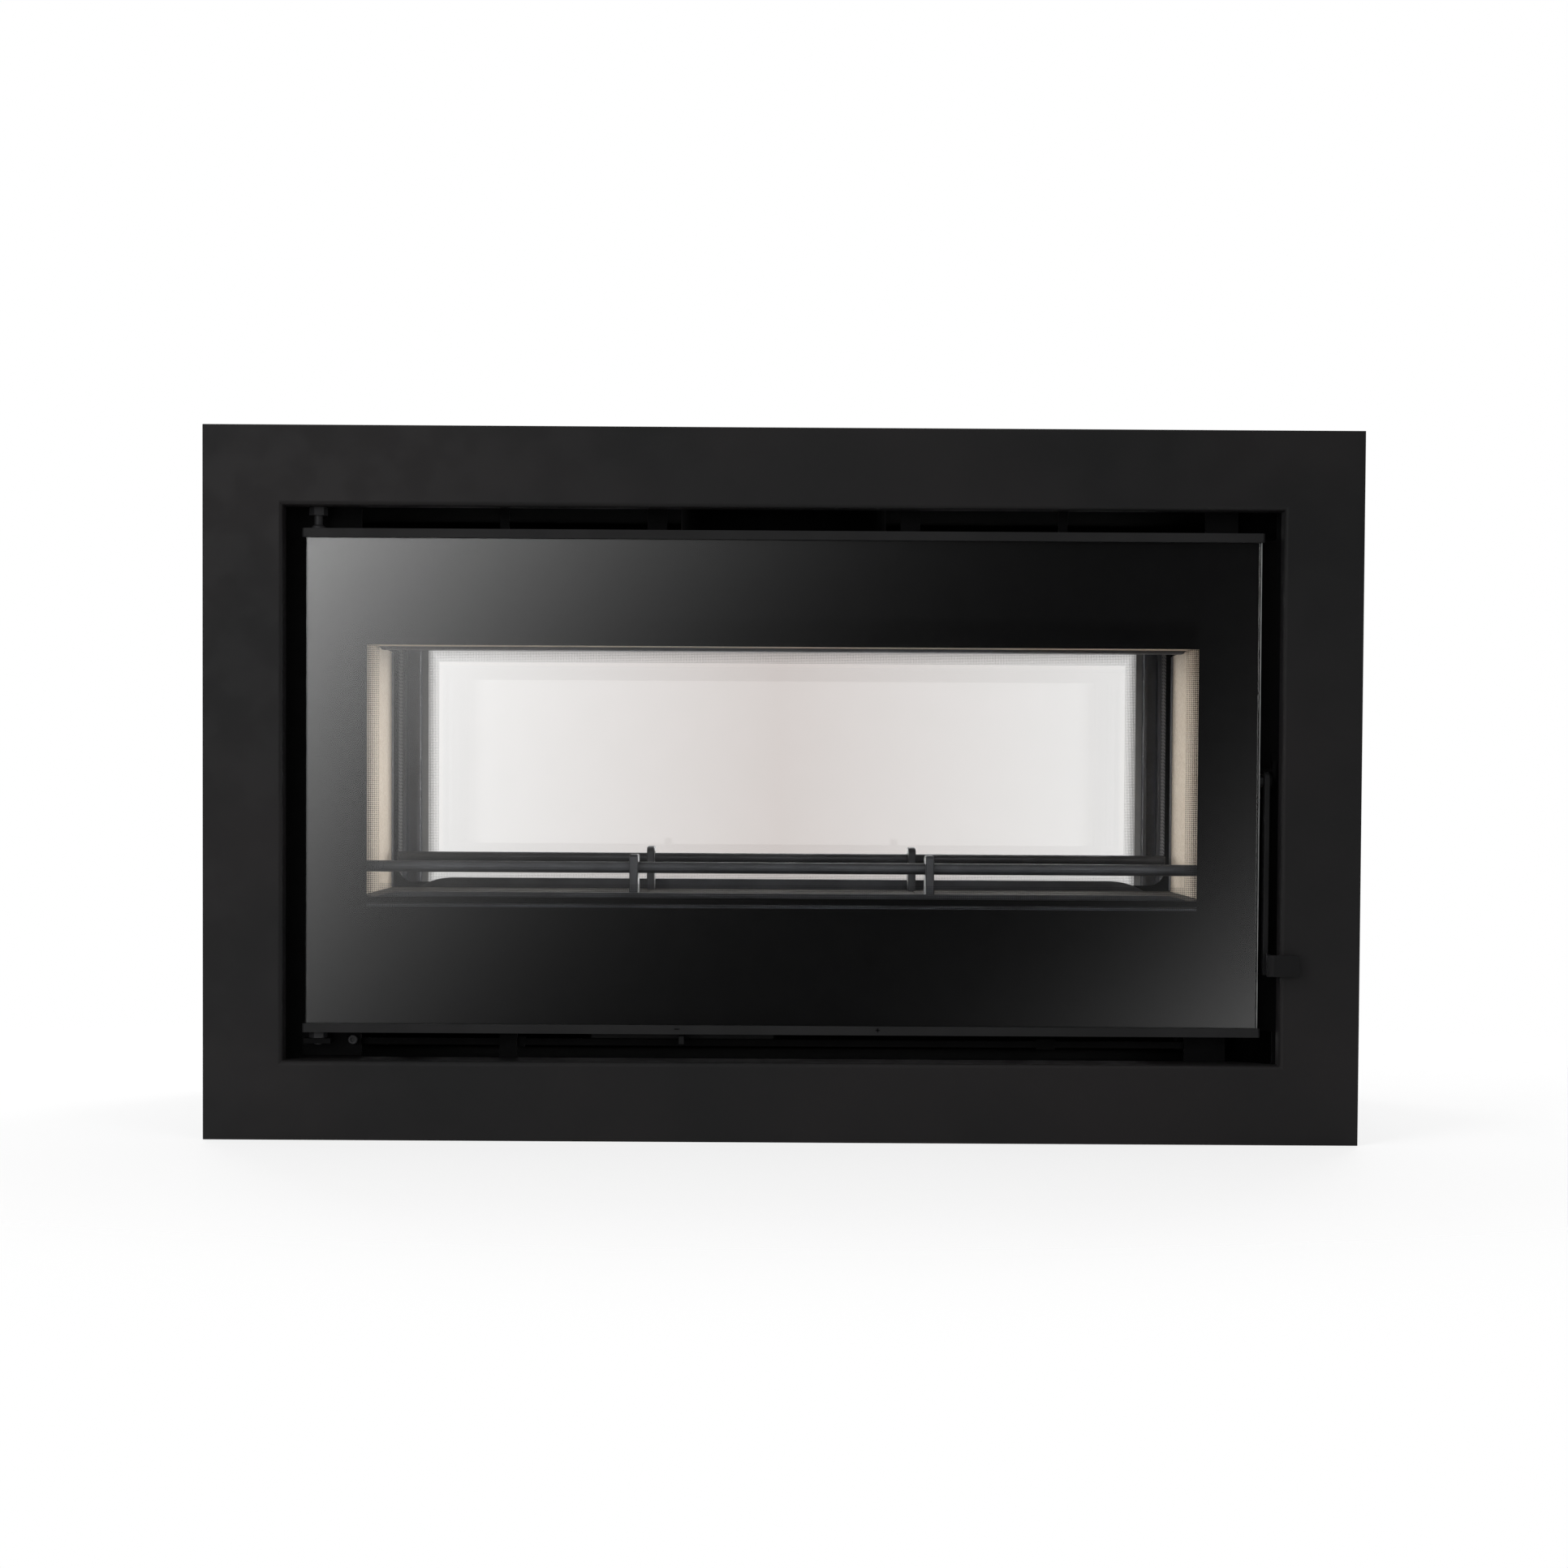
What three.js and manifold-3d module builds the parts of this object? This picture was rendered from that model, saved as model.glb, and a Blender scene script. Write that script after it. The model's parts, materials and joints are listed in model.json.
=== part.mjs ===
// See-through inset wood stove: one firebox with a door and a picture frame on each side.
// Units are millimetres and +Z is up. The origin is the middle of the footprint, on the hearth.
// X runs along the width, and the front faces -Y. Each side is modelled in its own frame, in which
// y is the depth behind that side's picture frame, and the rear side is the front one turned half round.
import * as THREE from 'three';
import * as BufferGeometryUtils from 'three/addons/utils/BufferGeometryUtils.js';
import Module from 'manifold-3d';

// ---- driving dimensions ----------------------------------------------------------------------

const FIT = 0.3; // gap between pieces that seat on each other

// picture frame
const FRAME_WIDTH = 934;
const FRAME_HEIGHT = 576;
const FRAME_BAND = 64.5;
const FRAME_SHEET = 3;
const FRAME_BEND = 4; // outer radius of the fold at the inner edge
const FRAME_RETURN = 16.5; // depth of the folded inner edge
const LEDGE_DEPTH = 35; // depth of the folded edge below the door
const LEDGE_MITRE = 30; // how much shorter the ledge is at its back, at each end
const FRAME_EDGE = 0.6;
const FRAME_HEM_WIDTH = 12; // the outer edge is folded back flat, and bears on the wall
const FRAME_HEM_DEPTH = 6;
const CLIP_LENGTH = 50;
const CLIP_DEPTH = 22;
const CLIP_SHEET = 2;
const CLIP_HEIGHTS = [170, 400];

// stove body
const STOVE_DEPTH = 424; // from the face of one picture frame to the face of the other
const CASING_LAP = 17.5; // how far the casing's sides lie outside the frame's opening
const CASING_LAP_TOP = 23.5; // how far its roof lies above the frame's opening
const CASING_SHEET = 2.5;
const CASING_CORNER = 8;
const FACE_DEPTH = 36;
const FACE_SHEET = 4;
const FIREBOX_SHEET = 4;
const FIREBOX_CORNER = 10;
const FIREBOX_HEADROOM = 50; // from the casing's roof down to the firebox's roof
const MOUTH_LAP = 20; // how far the firebox mouth lies outside the door frame's opening
const MOUTH_CORNER = 14;
const MOUTH_DROP = 5; // how far both of its level edges lie from those of the door frame's opening

// door
const DOOR_GAP_SIDE = 13.9;
const DOOR_GAP_TOP = 17.2;
const DOOR_GAP_BOTTOM = 21.9;
const RAIL_DEPTH = 10; // of the rails' outer face
const RAIL_LIP = 1.7;
const RAIL_HEIGHT = 7.3;
const RAIL_WEB = 2.3;
const RAIL_WEB_DEPTH = 19.5;
const RAIL_CHAMFER = 1.4;
const GLASS_SETBACK = 2; // of the pane's upright edges from the rails' ends
const GLASS_THICK = 5;
const GLASS_BEVEL = 1.2;
const DOOR_FRAME_SETBACK = 6.6;
const DOOR_FRAME_DEPTH = 14.7;
const DOOR_FRAME_BAND = 37;
const DOOR_FRAME_SHEET = 3;
const WINDOW_SILL = 104.6; // from the door's lower edge to the door frame's opening
const WINDOW_HEAD = 59.3; // from the door's upper edge to the door frame's opening
const SEAL_WIDTH = 10;
const SEAL_SETBACK = 16.5; // from the door frame's opening
const SEAL_DEPTH = 7.7;
const SEAL_ROUND = 2;
const SEAL_GROOVE = 4.5;
const DOOR_SWING_GAP = 0.5; // between the rope seal and the face plate

// hinge
const HINGE_INBOARD = 11.4; // from the door's edge to the hinge axis
const HINGE_DEPTH = 22;
const PIN_RADIUS = 3.5;
const PIN_COLLAR = 5.6;
const PIN_COLLAR_HEIGHT = 1.6;
const PIN_ENGAGEMENT = 14;
const NUT_FLATS = 13;
const NUT_TURN = 13; // degrees that the nuts are turned from facing the front
const TOP_NUT_HEIGHT = 6.4;
const BOTTOM_NUT_HEIGHT = 4.8;
const BRACKET_SHEET = 4;
const BRACKET_WIDTH = 22;
const BRACKET_LEG = 15;
const LOWER_LEG_REACH = 33; // of the lower bracket's leg, from the hinge axis towards the middle
const HINGE_BOSS = 13;
const HINGE_BOSS_HEIGHT = 22;
const SCREW_INSET = 6;
const SCREW_HEAD_RADIUS = 4;
const SCREW_HEAD_HEIGHT = 4;
const SCREW_SOCKET = 2;
const SCREW_CHAMFER = 0.6;

// handle
const LEVER_THICK = 4.2;
const LEVER_GAP = 2.5; // from the door rails' ends to the lever
const LEVER_WIDTH = 15;
const LEVER_HEAD = 7.9; // radius round the pivot
const PIVOT_DEPTH = 21.5;
const PIVOT_ABOVE_MIDDLE = 6.3; // above the mid-height of the picture frame
const PIVOT_RADIUS = 2.7;
const SPACER_RADIUS = 4;
const BUTTON_RADIUS = 7;
const BUTTON_HEIGHT = 3.4;
const BUTTON_SHOULDER = 0.86; // of the radius, where the head starts to round over
const BUTTON_CROWN = 0.5; // of the radius, the flat middle of the head
const BOLT_TAIL = 2; // inside the door frame
const TAB_DROP = 139.8; // from the pivot to the finger tab's upper edge
const TAB_HEIGHT = 17.4;
const TAB_BEND = 6; // outer radius of the bend
const TAB_SHEET = 3.5;
const TAB_REACH = 14.5; // of the tab over the frame's band
const TAB_STANDOFF = 6; // from the frame's face to the back of the tab
const KEEPER_RADIUS = 2.2;
const KEEPER_ORBIT = 12.3; // from the pivot to the keeper's pin
const KEEPER_SHEET = 3;
const KEEPER_EAR_HALF = 8; // half the height of the ear that holds the pin
const KEEPER_FOOT_WIDTH = 14;
const KEEPER_FOOT_BELOW = 12;
const KEEPER_FOOT_ABOVE = 14;
const KEEPER_PIN_END = 1.5; // of the pin past the lever's inner face
const HOOK_SHEET = 3.3;
const HOOK_ROOT = 50; // degrees below the level of the pivot
const HOOK_WINDOW_BELOW = 0.75; // of the hook's reach, the opening in the face plate
const HOOK_WINDOW_ABOVE = 0.55;
const HOOK_REAR_GAP = 0.4; // from the hook to the back of the face plate's plane
const HOOK_TIP = 17; // degrees above level

// firebox
const LINER_THICK = 25.1;
const LINER_SETBACK = 4.6; // of the liner's face outside the mouth
const LINER_ABOVE_MOUTH = -17; // of its top from the mouth's upper edge
const BRICK_THICK = 33.7;
const BRICK_COUNT = 3;
const BRICK_JOINT = 0.6;
const HEARTH_DROP = 5; // from the mouth's lower edge to the hearth's surface
const BAFFLE_THICK = 25;
const BAFFLE_DEPTH = 170;
const BAFFLE_EDGE_SHEET = 2.7;
const BAFFLE_EDGE_LEG = 14;
const BAFFLE_EDGE_CHAMFER = 3.5;
const DEFLECTOR_SHEET = 3;
const DEFLECTOR_FRONT_DROP = 27.8; // below the mouth's upper edge
const DEFLECTOR_REAR_DROP = 10;
const DEFLECTOR_RISE = 40;

// log guards
const GUARD_SHEET = 3;
const GUARD_END_GAP = 20.6; // from each end of the guard to the liner
const GUARD_ABOVE_SILL = 4.2; // above the mouth's lower edge
const GUARD_CORNER = 58;
const GUARD_SHOULDER = 36; // half-length of the guard that its rounded corner takes
const POST_OFFSET = 122;
const POST_THICK = 7;
const POST_DEPTH = 30;
const POST_HEIGHT = 40.4;
const POST_SETBACK = 7; // behind the face plate's back
const POST_ROUND = 7;
const POST_EDGE = 0.8; // of the bevels on its edges
const BAR_RADIUS = 4.7;
const BAR_HEIGHT = 29.4; // above the hearth
const BAR_INSET = 11; // behind the post's front edge
const BAR_END_GAP = 7;

// slots of the face plate, from the middle outwards
const SLOT_END_INSET = 18.6; // of the outermost slots' ends inside the mouth's sides
const TOP_SLOT_HALF = 95.3;
const TOP_SLOT_INNER_WEB = 16;
const TOP_SLOT_OUTER_WEB = 7.5;
const TOP_SLOT_BELOW = 20.5; // from the frame opening's upper edge down to the slots' lower edge
const TOP_SLOT_ABOVE = 5.5;
const SIDE_SLOT_GAP = 8; // outside the mouth
const SIDE_SLOT_END_GAP = 14;
const LOWER_SHORT_SLOT = 113.5;
const LOWER_SLOT_WEB = 14.6;
const LOWER_LONG_SLOT_INSET = 13.1; // of its right end inside the upper slots' ends
const LOWER_SIDE_SLOT_GAP = 1.5;
const LOWER_SLOT_BELOW = 2.5;
const LOWER_SLOT_ABOVE = 25.5;
const SLOT_CORNER = 2;

// air control
const SLIDE_RAIL_LAP = 0.8; // beyond the ends of the slots
const SLIDE_RAIL_HEIGHT = 5.3;
const SLIDE_RAIL_BELOW_DOOR = 6.8; // from the door's lower edge to the rail's upper edge
const SLIDE_RAIL_SHEET = 3;
const SLIDE_STOP_X = 218;
const SLIDE_STOP_WIDTH = 15;
const SLIDE_STOP_DROP = 1.4;
const SLIDE_REST_X = -81;
const SLIDE_LEVER_THICK = 4;
const SLIDE_LEVER_HEIGHT = 5.8;
const SLIDE_LEVER_LIP = 1.8;
const SLIDE_LEVER_CHAMFER = 1.5;
const SLIDE_LEVER_FRONT = 16;
const SHUTTER_WIDTH = 150;
const SHUTTER_HEIGHT = 58;
const SHUTTER_SHEET = 3;
const AIR_BOX_WIDTH = 500;
const AIR_BOX_HEIGHT = 58;
const AIR_BOX_SHEET = 2;
const AIR_HOLE_WIDTH = 55;
const AIR_HOLE_HEIGHT = 26;
const AIR_HOLE_OFFSET = 35; // of each hole from the middle of the shutter at rest

// flue and feet
const FLUE_RADIUS = 90;
const FLUE_SHEET = 3;
const FLUE_RISE = 53; // above the casing's roof
const FLUE_FLANGE = 17;
const FLUE_FLANGE_THICK = 4;
const FLUE_BEAD = 2.5;
const FLUE_BEAD_HALF = 4; // half the height of the stiffening bead
const FOOT_CLEARANCE = 40; // of the casing above the hearth
const FOOT_RADIUS = 18;
const FOOT_PAD = 5;
const FOOT_STEM = 5;
const FOOT_NUT_FLATS = 17;
const FOOT_NUT_HEIGHT = 8;
const FOOT_STEM_END = 20; // above the casing's floor
const FOOT_INSET_X = 45;
const FOOT_INSET_Y = 60;

// ---- sizes that follow from them ----------------------------------------------------------------

const openingX = FRAME_WIDTH / 2 - FRAME_BAND;
const openingBottom = FRAME_BAND;
const openingTop = FRAME_HEIGHT - FRAME_BAND;

const casingX = openingX + CASING_LAP;
const casingBottom = FOOT_CLEARANCE;
const casingTop = openingTop + CASING_LAP_TOP;
const faceBack = FACE_DEPTH + FACE_SHEET;

const doorX = openingX - DOOR_GAP_SIDE;
const doorBottom = openingBottom + DOOR_GAP_BOTTOM;
const doorTop = openingTop - DOOR_GAP_TOP;
const glassFront = RAIL_DEPTH + RAIL_LIP + FIT;
const glassX = doorX - GLASS_SETBACK;
const glassBottom = doorBottom + RAIL_WEB + FIT;
const glassTop = doorTop - RAIL_WEB - FIT;
const doorFrameFront = glassFront + GLASS_THICK + FIT;
const doorFrameBack = doorFrameFront + DOOR_FRAME_DEPTH;
const doorFrameX = glassX - DOOR_FRAME_SETBACK;
const windowX = doorFrameX - DOOR_FRAME_BAND;
const windowBottom = doorBottom + WINDOW_SILL;
const windowTop = doorTop - WINDOW_HEAD;
const sealFront = FACE_DEPTH - DOOR_SWING_GAP - SEAL_DEPTH;

const hingeX = -doorX + HINGE_INBOARD;
const pivotX = doorX + LEVER_GAP;
const pivotZ = FRAME_HEIGHT / 2 + PIVOT_ABOVE_MIDDLE;

const mouthX = windowX + MOUTH_LAP;
const mouthBottom = windowBottom + MOUTH_DROP;
const mouthTop = windowTop - MOUTH_DROP;
const linerX = mouthX + LINER_SETBACK;
const fireboxInnerX = linerX + LINER_THICK + FIT;
const fireboxX = fireboxInnerX + FIREBOX_SHEET;
const hearthTop = mouthBottom - HEARTH_DROP;
const fireboxFloor = hearthTop - BRICK_THICK - FIT;
const fireboxBottom = fireboxFloor - FIREBOX_SHEET;
const fireboxTop = casingTop - FIREBOX_HEADROOM;
const linerTop = mouthTop + LINER_ABOVE_MOUTH;
const liningStart = faceBack + 2 * FIT + GUARD_SHEET + FIT;
const liningEnd = STOVE_DEPTH - liningStart;
const railTop = doorBottom - SLIDE_RAIL_BELOW_DOOR;
const slotEnd = mouthX - SLOT_END_INSET;
const topSlotWidth = (slotEnd - TOP_SLOT_HALF - TOP_SLOT_INNER_WEB - TOP_SLOT_OUTER_WEB) / 2;
const guardX = linerX - GUARD_END_GAP;
const slideRailX = slotEnd + SLIDE_RAIL_LAP;
const airBoxFront = faceBack + FIT + SLIDE_RAIL_SHEET + SHUTTER_SHEET + 3 * FIT;

// ---- materials --------------------------------------------------------------------------------

const material = (color, roughness, metalness, extra = {}) =>
  new THREE.MeshStandardMaterial({ color, roughness, metalness, ...extra });
const framePaint = material(0x2b2b2c, 0.6, 0.3);
const railPaint = material(0x272727, 0.45, 0.4);
const bodyPaint = material(0x1c1d1f, 0.7, 0.3);
const casingSteel = material(0x55585b, 0.5, 0.7);
const fireSteel = material(0x34373d, 0.65, 0.5);
const glassPane = material(0x1b1c1e, 0.06, 0, { transparent: true, opacity: 0.35 });
const ropeFibre = material(0x8d8c8e, 0.95, 0);
const vermiculite = material(0xcdbfa6, 0.95, 0);
const sootedBrick = material(0x4a4642, 0.95, 0);
const darkScrew = material(0x55565a, 0.45, 0.8);
const leverBlack = material(0x212122, 0.4, 0.6);
const guardIron = material(0x2f3033, 0.6, 0.6);

// ---- shaping ------------------------------------------------------------------------------------

const wasm = await Module();
wasm.setup();

function toSolid(geometry) {
  const bare = geometry.clone();
  bare.deleteAttribute('normal');
  bare.deleteAttribute('uv');
  const merged = BufferGeometryUtils.mergeVertices(bare, 1e-4);
  return new wasm.Manifold(new wasm.Mesh({
    numProp: 3,
    vertProperties: new Float32Array(merged.attributes.position.array),
    triVerts: new Uint32Array(merged.index.array),
  }));
}

function toGeometry(solid) {
  const mesh = solid.getMesh();
  const geometry = new THREE.BufferGeometry();
  geometry.setAttribute('position', new THREE.BufferAttribute(new Float32Array(mesh.vertProperties), 3));
  geometry.setIndex(new THREE.BufferAttribute(new Uint32Array(mesh.triVerts), 1));
  return geometry;
}

const join = (first, ...others) =>
  toGeometry(others.reduce((solid, other) => solid.add(toSolid(other)), toSolid(first)));
const cut = (first, ...others) =>
  toGeometry(others.reduce((solid, other) => solid.subtract(toSolid(other)), toSolid(first)));

function block(x0, x1, y0, y1, z0, z1) {
  return new THREE.BoxGeometry(x1 - x0, y1 - y0, z1 - z0)
    .translate((x0 + x1) / 2, (y0 + y1) / 2, (z0 + z1) / 2);
}

// A rectangle with round corners, drawn on a shape or a hole.
function rectangle(outline, left, bottom, right, top, radius = 0) {
  if (radius === 0) {
    outline.moveTo(left, bottom).lineTo(right, bottom).lineTo(right, top).lineTo(left, top);
    return outline.closePath();
  }
  outline.moveTo(left + radius, bottom).lineTo(right - radius, bottom);
  outline.absarc(right - radius, bottom + radius, radius, -Math.PI / 2, 0);
  outline.lineTo(right, top - radius);
  outline.absarc(right - radius, top - radius, radius, 0, Math.PI / 2);
  outline.lineTo(left + radius, top);
  outline.absarc(left + radius, top - radius, radius, Math.PI / 2, Math.PI);
  outline.lineTo(left, bottom + radius);
  outline.absarc(left + radius, bottom + radius, radius, Math.PI, 1.5 * Math.PI);
  return outline;
}

// Extrudes an outline drawn in x and z from one depth to another.
function acrossDepth(shape, y0, y1, curveSegments = 2) {
  return new THREE.ExtrudeGeometry(shape, { depth: y1 - y0, bevelEnabled: false, curveSegments })
    .rotateX(Math.PI / 2)
    .translate(0, y1, 0);
}

// Extrudes an outline drawn in y and z along x.
function acrossWidth(shape, x0, x1, curveSegments = 4, bevel = 0) {
  const turn = new THREE.Matrix4().makeBasis(
    new THREE.Vector3(0, 1, 0),
    new THREE.Vector3(0, 0, 1),
    new THREE.Vector3(1, 0, 0),
  );
  return new THREE.ExtrudeGeometry(shape, {
    depth: x1 - x0 - 2 * bevel,
    bevelEnabled: bevel > 0,
    bevelSize: bevel,
    bevelThickness: bevel,
    bevelOffset: -bevel,
    bevelSegments: 1,
    curveSegments,
  }).applyMatrix4(turn).translate(x0 + bevel, 0, 0);
}

// Extrudes an outline drawn in x and y upwards.
function upwards(shape, z0, z1, curveSegments = 4) {
  return new THREE.ExtrudeGeometry(shape, { depth: z1 - z0, bevelEnabled: false, curveSegments })
    .translate(0, 0, z0);
}

function polygon(points) {
  return new THREE.Shape(points.map(([a, b]) => new THREE.Vector2(a, b)));
}

// Turns a profile of [radius, distance] points about a line through (p, q) along an axis.
function turned(axis, profile, p, q, sides = 20) {
  const points = profile.map(([radius, along]) => new THREE.Vector2(radius, along));
  const geometry = new THREE.LatheGeometry(points, sides);
  if (axis === 'x') return geometry.rotateZ(-Math.PI / 2).translate(0, p, q);
  if (axis === 'z') return geometry.rotateX(Math.PI / 2).translate(p, q, 0);
  return geometry.translate(p, 0, q);
}

const roundBar = (axis, radius, start, end, p, q, sides = 20) =>
  turned(axis, [[0, start], [radius, start], [radius, end], [0, end]], p, q, sides);

// A hexagonal nut on an upright axis.
function hexNut(flats, z0, z1, x, y, turn = 0) {
  const corner = flats / Math.sqrt(3);
  return roundBar('z', corner, z0, z1, 0, 0, 6)
    .rotateZ(THREE.MathUtils.degToRad(30 + turn))
    .translate(x, y, 0);
}

// Sweeps a profile of [outwards, depth] points round a rectangular opening, with mitred corners.
function mitredFrame(profile, halfWidth, bottom, top) {
  const positions = [];
  for (const [outwards, depth] of profile) {
    const x = halfWidth + outwards;
    for (const [cornerX, cornerZ] of [
      [-x, bottom - outwards],
      [x, bottom - outwards],
      [x, top + outwards],
      [-x, top + outwards],
    ]) positions.push(cornerX, depth, cornerZ);
  }
  const index = [];
  for (let i = 0; i < profile.length; i++) {
    const next = (i + 1) % profile.length;
    for (let corner = 0; corner < 4; corner++) {
      const turn = (corner + 1) % 4;
      const [a, b, c, d] = [4 * i + corner, 4 * i + turn, 4 * next + turn, 4 * next + corner];
      index.push(a, c, b, a, d, c);
    }
  }
  const geometry = new THREE.BufferGeometry();
  geometry.setAttribute('position', new THREE.Float32BufferAttribute(positions, 3));
  geometry.setIndex(index);
  return geometry;
}

function named(name, geometry, look) {
  const mesh = new THREE.Mesh(geometry, look);
  mesh.name = name;
  return mesh;
}

// ---- picture frame -------------------------------------------------------------------------------

function pictureFrame() {
  const profile = [[0, FRAME_RETURN]];
  const steps = 4;
  for (let i = 0; i <= steps; i++) {
    const angle = (i / steps) * Math.PI / 2;
    profile.push([FRAME_BEND * (1 - Math.cos(angle)), FRAME_BEND * (1 - Math.sin(angle))]);
  }
  profile.push(
    [FRAME_BAND - FRAME_EDGE, 0],
    [FRAME_BAND, FRAME_EDGE],
    [FRAME_BAND, FRAME_HEM_DEPTH],
    [FRAME_BAND - FRAME_HEM_WIDTH, FRAME_HEM_DEPTH],
    [FRAME_BAND - FRAME_HEM_WIDTH, FRAME_SHEET],
    [FRAME_BEND, FRAME_SHEET],
    [FRAME_SHEET, FRAME_BEND],
    [FRAME_SHEET, FRAME_RETURN],
  );
  const clipX = casingX - CASING_SHEET - FIT;
  const clips = [];
  for (const height of CLIP_HEIGHTS) {
    const [z0, z1] = [height - CLIP_LENGTH / 2, height + CLIP_LENGTH / 2];
    const y0 = FRAME_SHEET / 2;
    clips.push(block(clipX - CLIP_SHEET, clipX, y0, FRAME_SHEET + CLIP_DEPTH, z0, z1));
    clips.push(block(-clipX, -clipX + CLIP_SHEET, y0, FRAME_SHEET + CLIP_DEPTH, z0, z1));
  }
  const ledge = upwards(polygon([
    [-openingX, FRAME_BEND],
    [openingX, FRAME_BEND],
    [openingX - FRAME_SHEET, FRAME_RETURN],
    [openingX - LEDGE_MITRE, LEDGE_DEPTH],
    [-openingX + LEDGE_MITRE, LEDGE_DEPTH],
    [-openingX + FRAME_SHEET, FRAME_RETURN],
  ]), openingBottom - FRAME_SHEET, openingBottom);
  return join(mitredFrame(profile, openingX, openingBottom, openingTop), ledge, ...clips);
}

// ---- face plate, with the firebox mouth and the air slots ----------------------------------------

function facePlate() {
  const edge = casingX - CASING_SHEET - FIT;
  const [bottom, top] = [casingBottom + CASING_SHEET + FIT, casingTop - CASING_SHEET - FIT];
  const plate = rectangle(new THREE.Shape(), -edge, bottom, edge, top, CASING_CORNER - CASING_SHEET);
  const hole = (left, low, right, high, radius) =>
    plate.holes.push(rectangle(new THREE.Path(), left, low, right, high, radius));
  hole(-mouthX, mouthBottom, mouthX, mouthTop, MOUTH_CORNER);

  const [slotLow, slotHigh] = [openingTop - TOP_SLOT_BELOW, openingTop + TOP_SLOT_ABOVE];
  hole(-TOP_SLOT_HALF, slotLow, TOP_SLOT_HALF, slotHigh, SLOT_CORNER);
  const inner = TOP_SLOT_HALF + TOP_SLOT_INNER_WEB;
  const outer = inner + topSlotWidth + TOP_SLOT_OUTER_WEB;
  for (const start of [inner, outer]) {
    hole(start, slotLow, start + topSlotWidth, slotHigh, SLOT_CORNER);
    hole(-start - topSlotWidth, slotLow, -start, slotHigh, SLOT_CORNER);
  }
  hole(mouthX + SIDE_SLOT_GAP, slotLow, edge - SIDE_SLOT_END_GAP, slotHigh, SLOT_CORNER);

  const [airLow, airHigh] = [openingBottom - LOWER_SLOT_BELOW, openingBottom + LOWER_SLOT_ABOVE];
  const shortSlotEnd = -slotEnd + LOWER_SHORT_SLOT;
  hole(-slotEnd, airLow, shortSlotEnd, airHigh, SLOT_CORNER);
  hole(shortSlotEnd + LOWER_SLOT_WEB, airLow, slotEnd - LOWER_LONG_SLOT_INSET, airHigh, SLOT_CORNER);
  hole(mouthX + LOWER_SIDE_SLOT_GAP, airLow, edge - SIDE_SLOT_END_GAP, airHigh, SLOT_CORNER);

  // the window that the handle's hook dips into
  const hookOrbit = faceBack - PIVOT_DEPTH;
  const aside = LEVER_THICK / 2;
  hole(pivotX - aside, pivotZ - hookOrbit * HOOK_WINDOW_BELOW, pivotX + LEVER_THICK + aside,
    pivotZ + hookOrbit * HOOK_WINDOW_ABOVE, SLOT_CORNER);
  return acrossDepth(plate, FACE_DEPTH, faceBack);
}

// ---- door ----------------------------------------------------------------------------------------

function doorRail(edgeZ, inwards) {
  const lip = polygon([
    [-doorX + RAIL_CHAMFER, RAIL_DEPTH],
    [doorX - RAIL_CHAMFER, RAIL_DEPTH],
    [doorX, RAIL_DEPTH + RAIL_CHAMFER],
    [doorX, RAIL_DEPTH + RAIL_LIP],
    [-doorX, RAIL_DEPTH + RAIL_LIP],
    [-doorX, RAIL_DEPTH + RAIL_CHAMFER],
  ]);
  const span = (height) => [edgeZ, edgeZ + inwards * height].sort((a, b) => a - b);
  const web = block(-doorX, doorX, RAIL_DEPTH + RAIL_CHAMFER, RAIL_DEPTH + RAIL_WEB_DEPTH, ...span(RAIL_WEB));
  const bore = roundBar('z', PIN_RADIUS + FIT, edgeZ - RAIL_HEIGHT, edgeZ + RAIL_HEIGHT, hingeX, HINGE_DEPTH);
  return cut(join(upwards(lip, ...span(RAIL_HEIGHT)), web), bore);
}

function doorGlass() {
  const pane = rectangle(new THREE.Shape(), -glassX, glassBottom, glassX, glassTop);
  return new THREE.ExtrudeGeometry(pane, {
    depth: GLASS_THICK - 2 * GLASS_BEVEL,
    bevelSize: GLASS_BEVEL,
    bevelThickness: GLASS_BEVEL,
    bevelOffset: -GLASS_BEVEL,
    bevelSegments: 1,
  }).rotateX(Math.PI / 2).translate(0, glassFront + GLASS_THICK - GLASS_BEVEL, 0);
}

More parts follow.
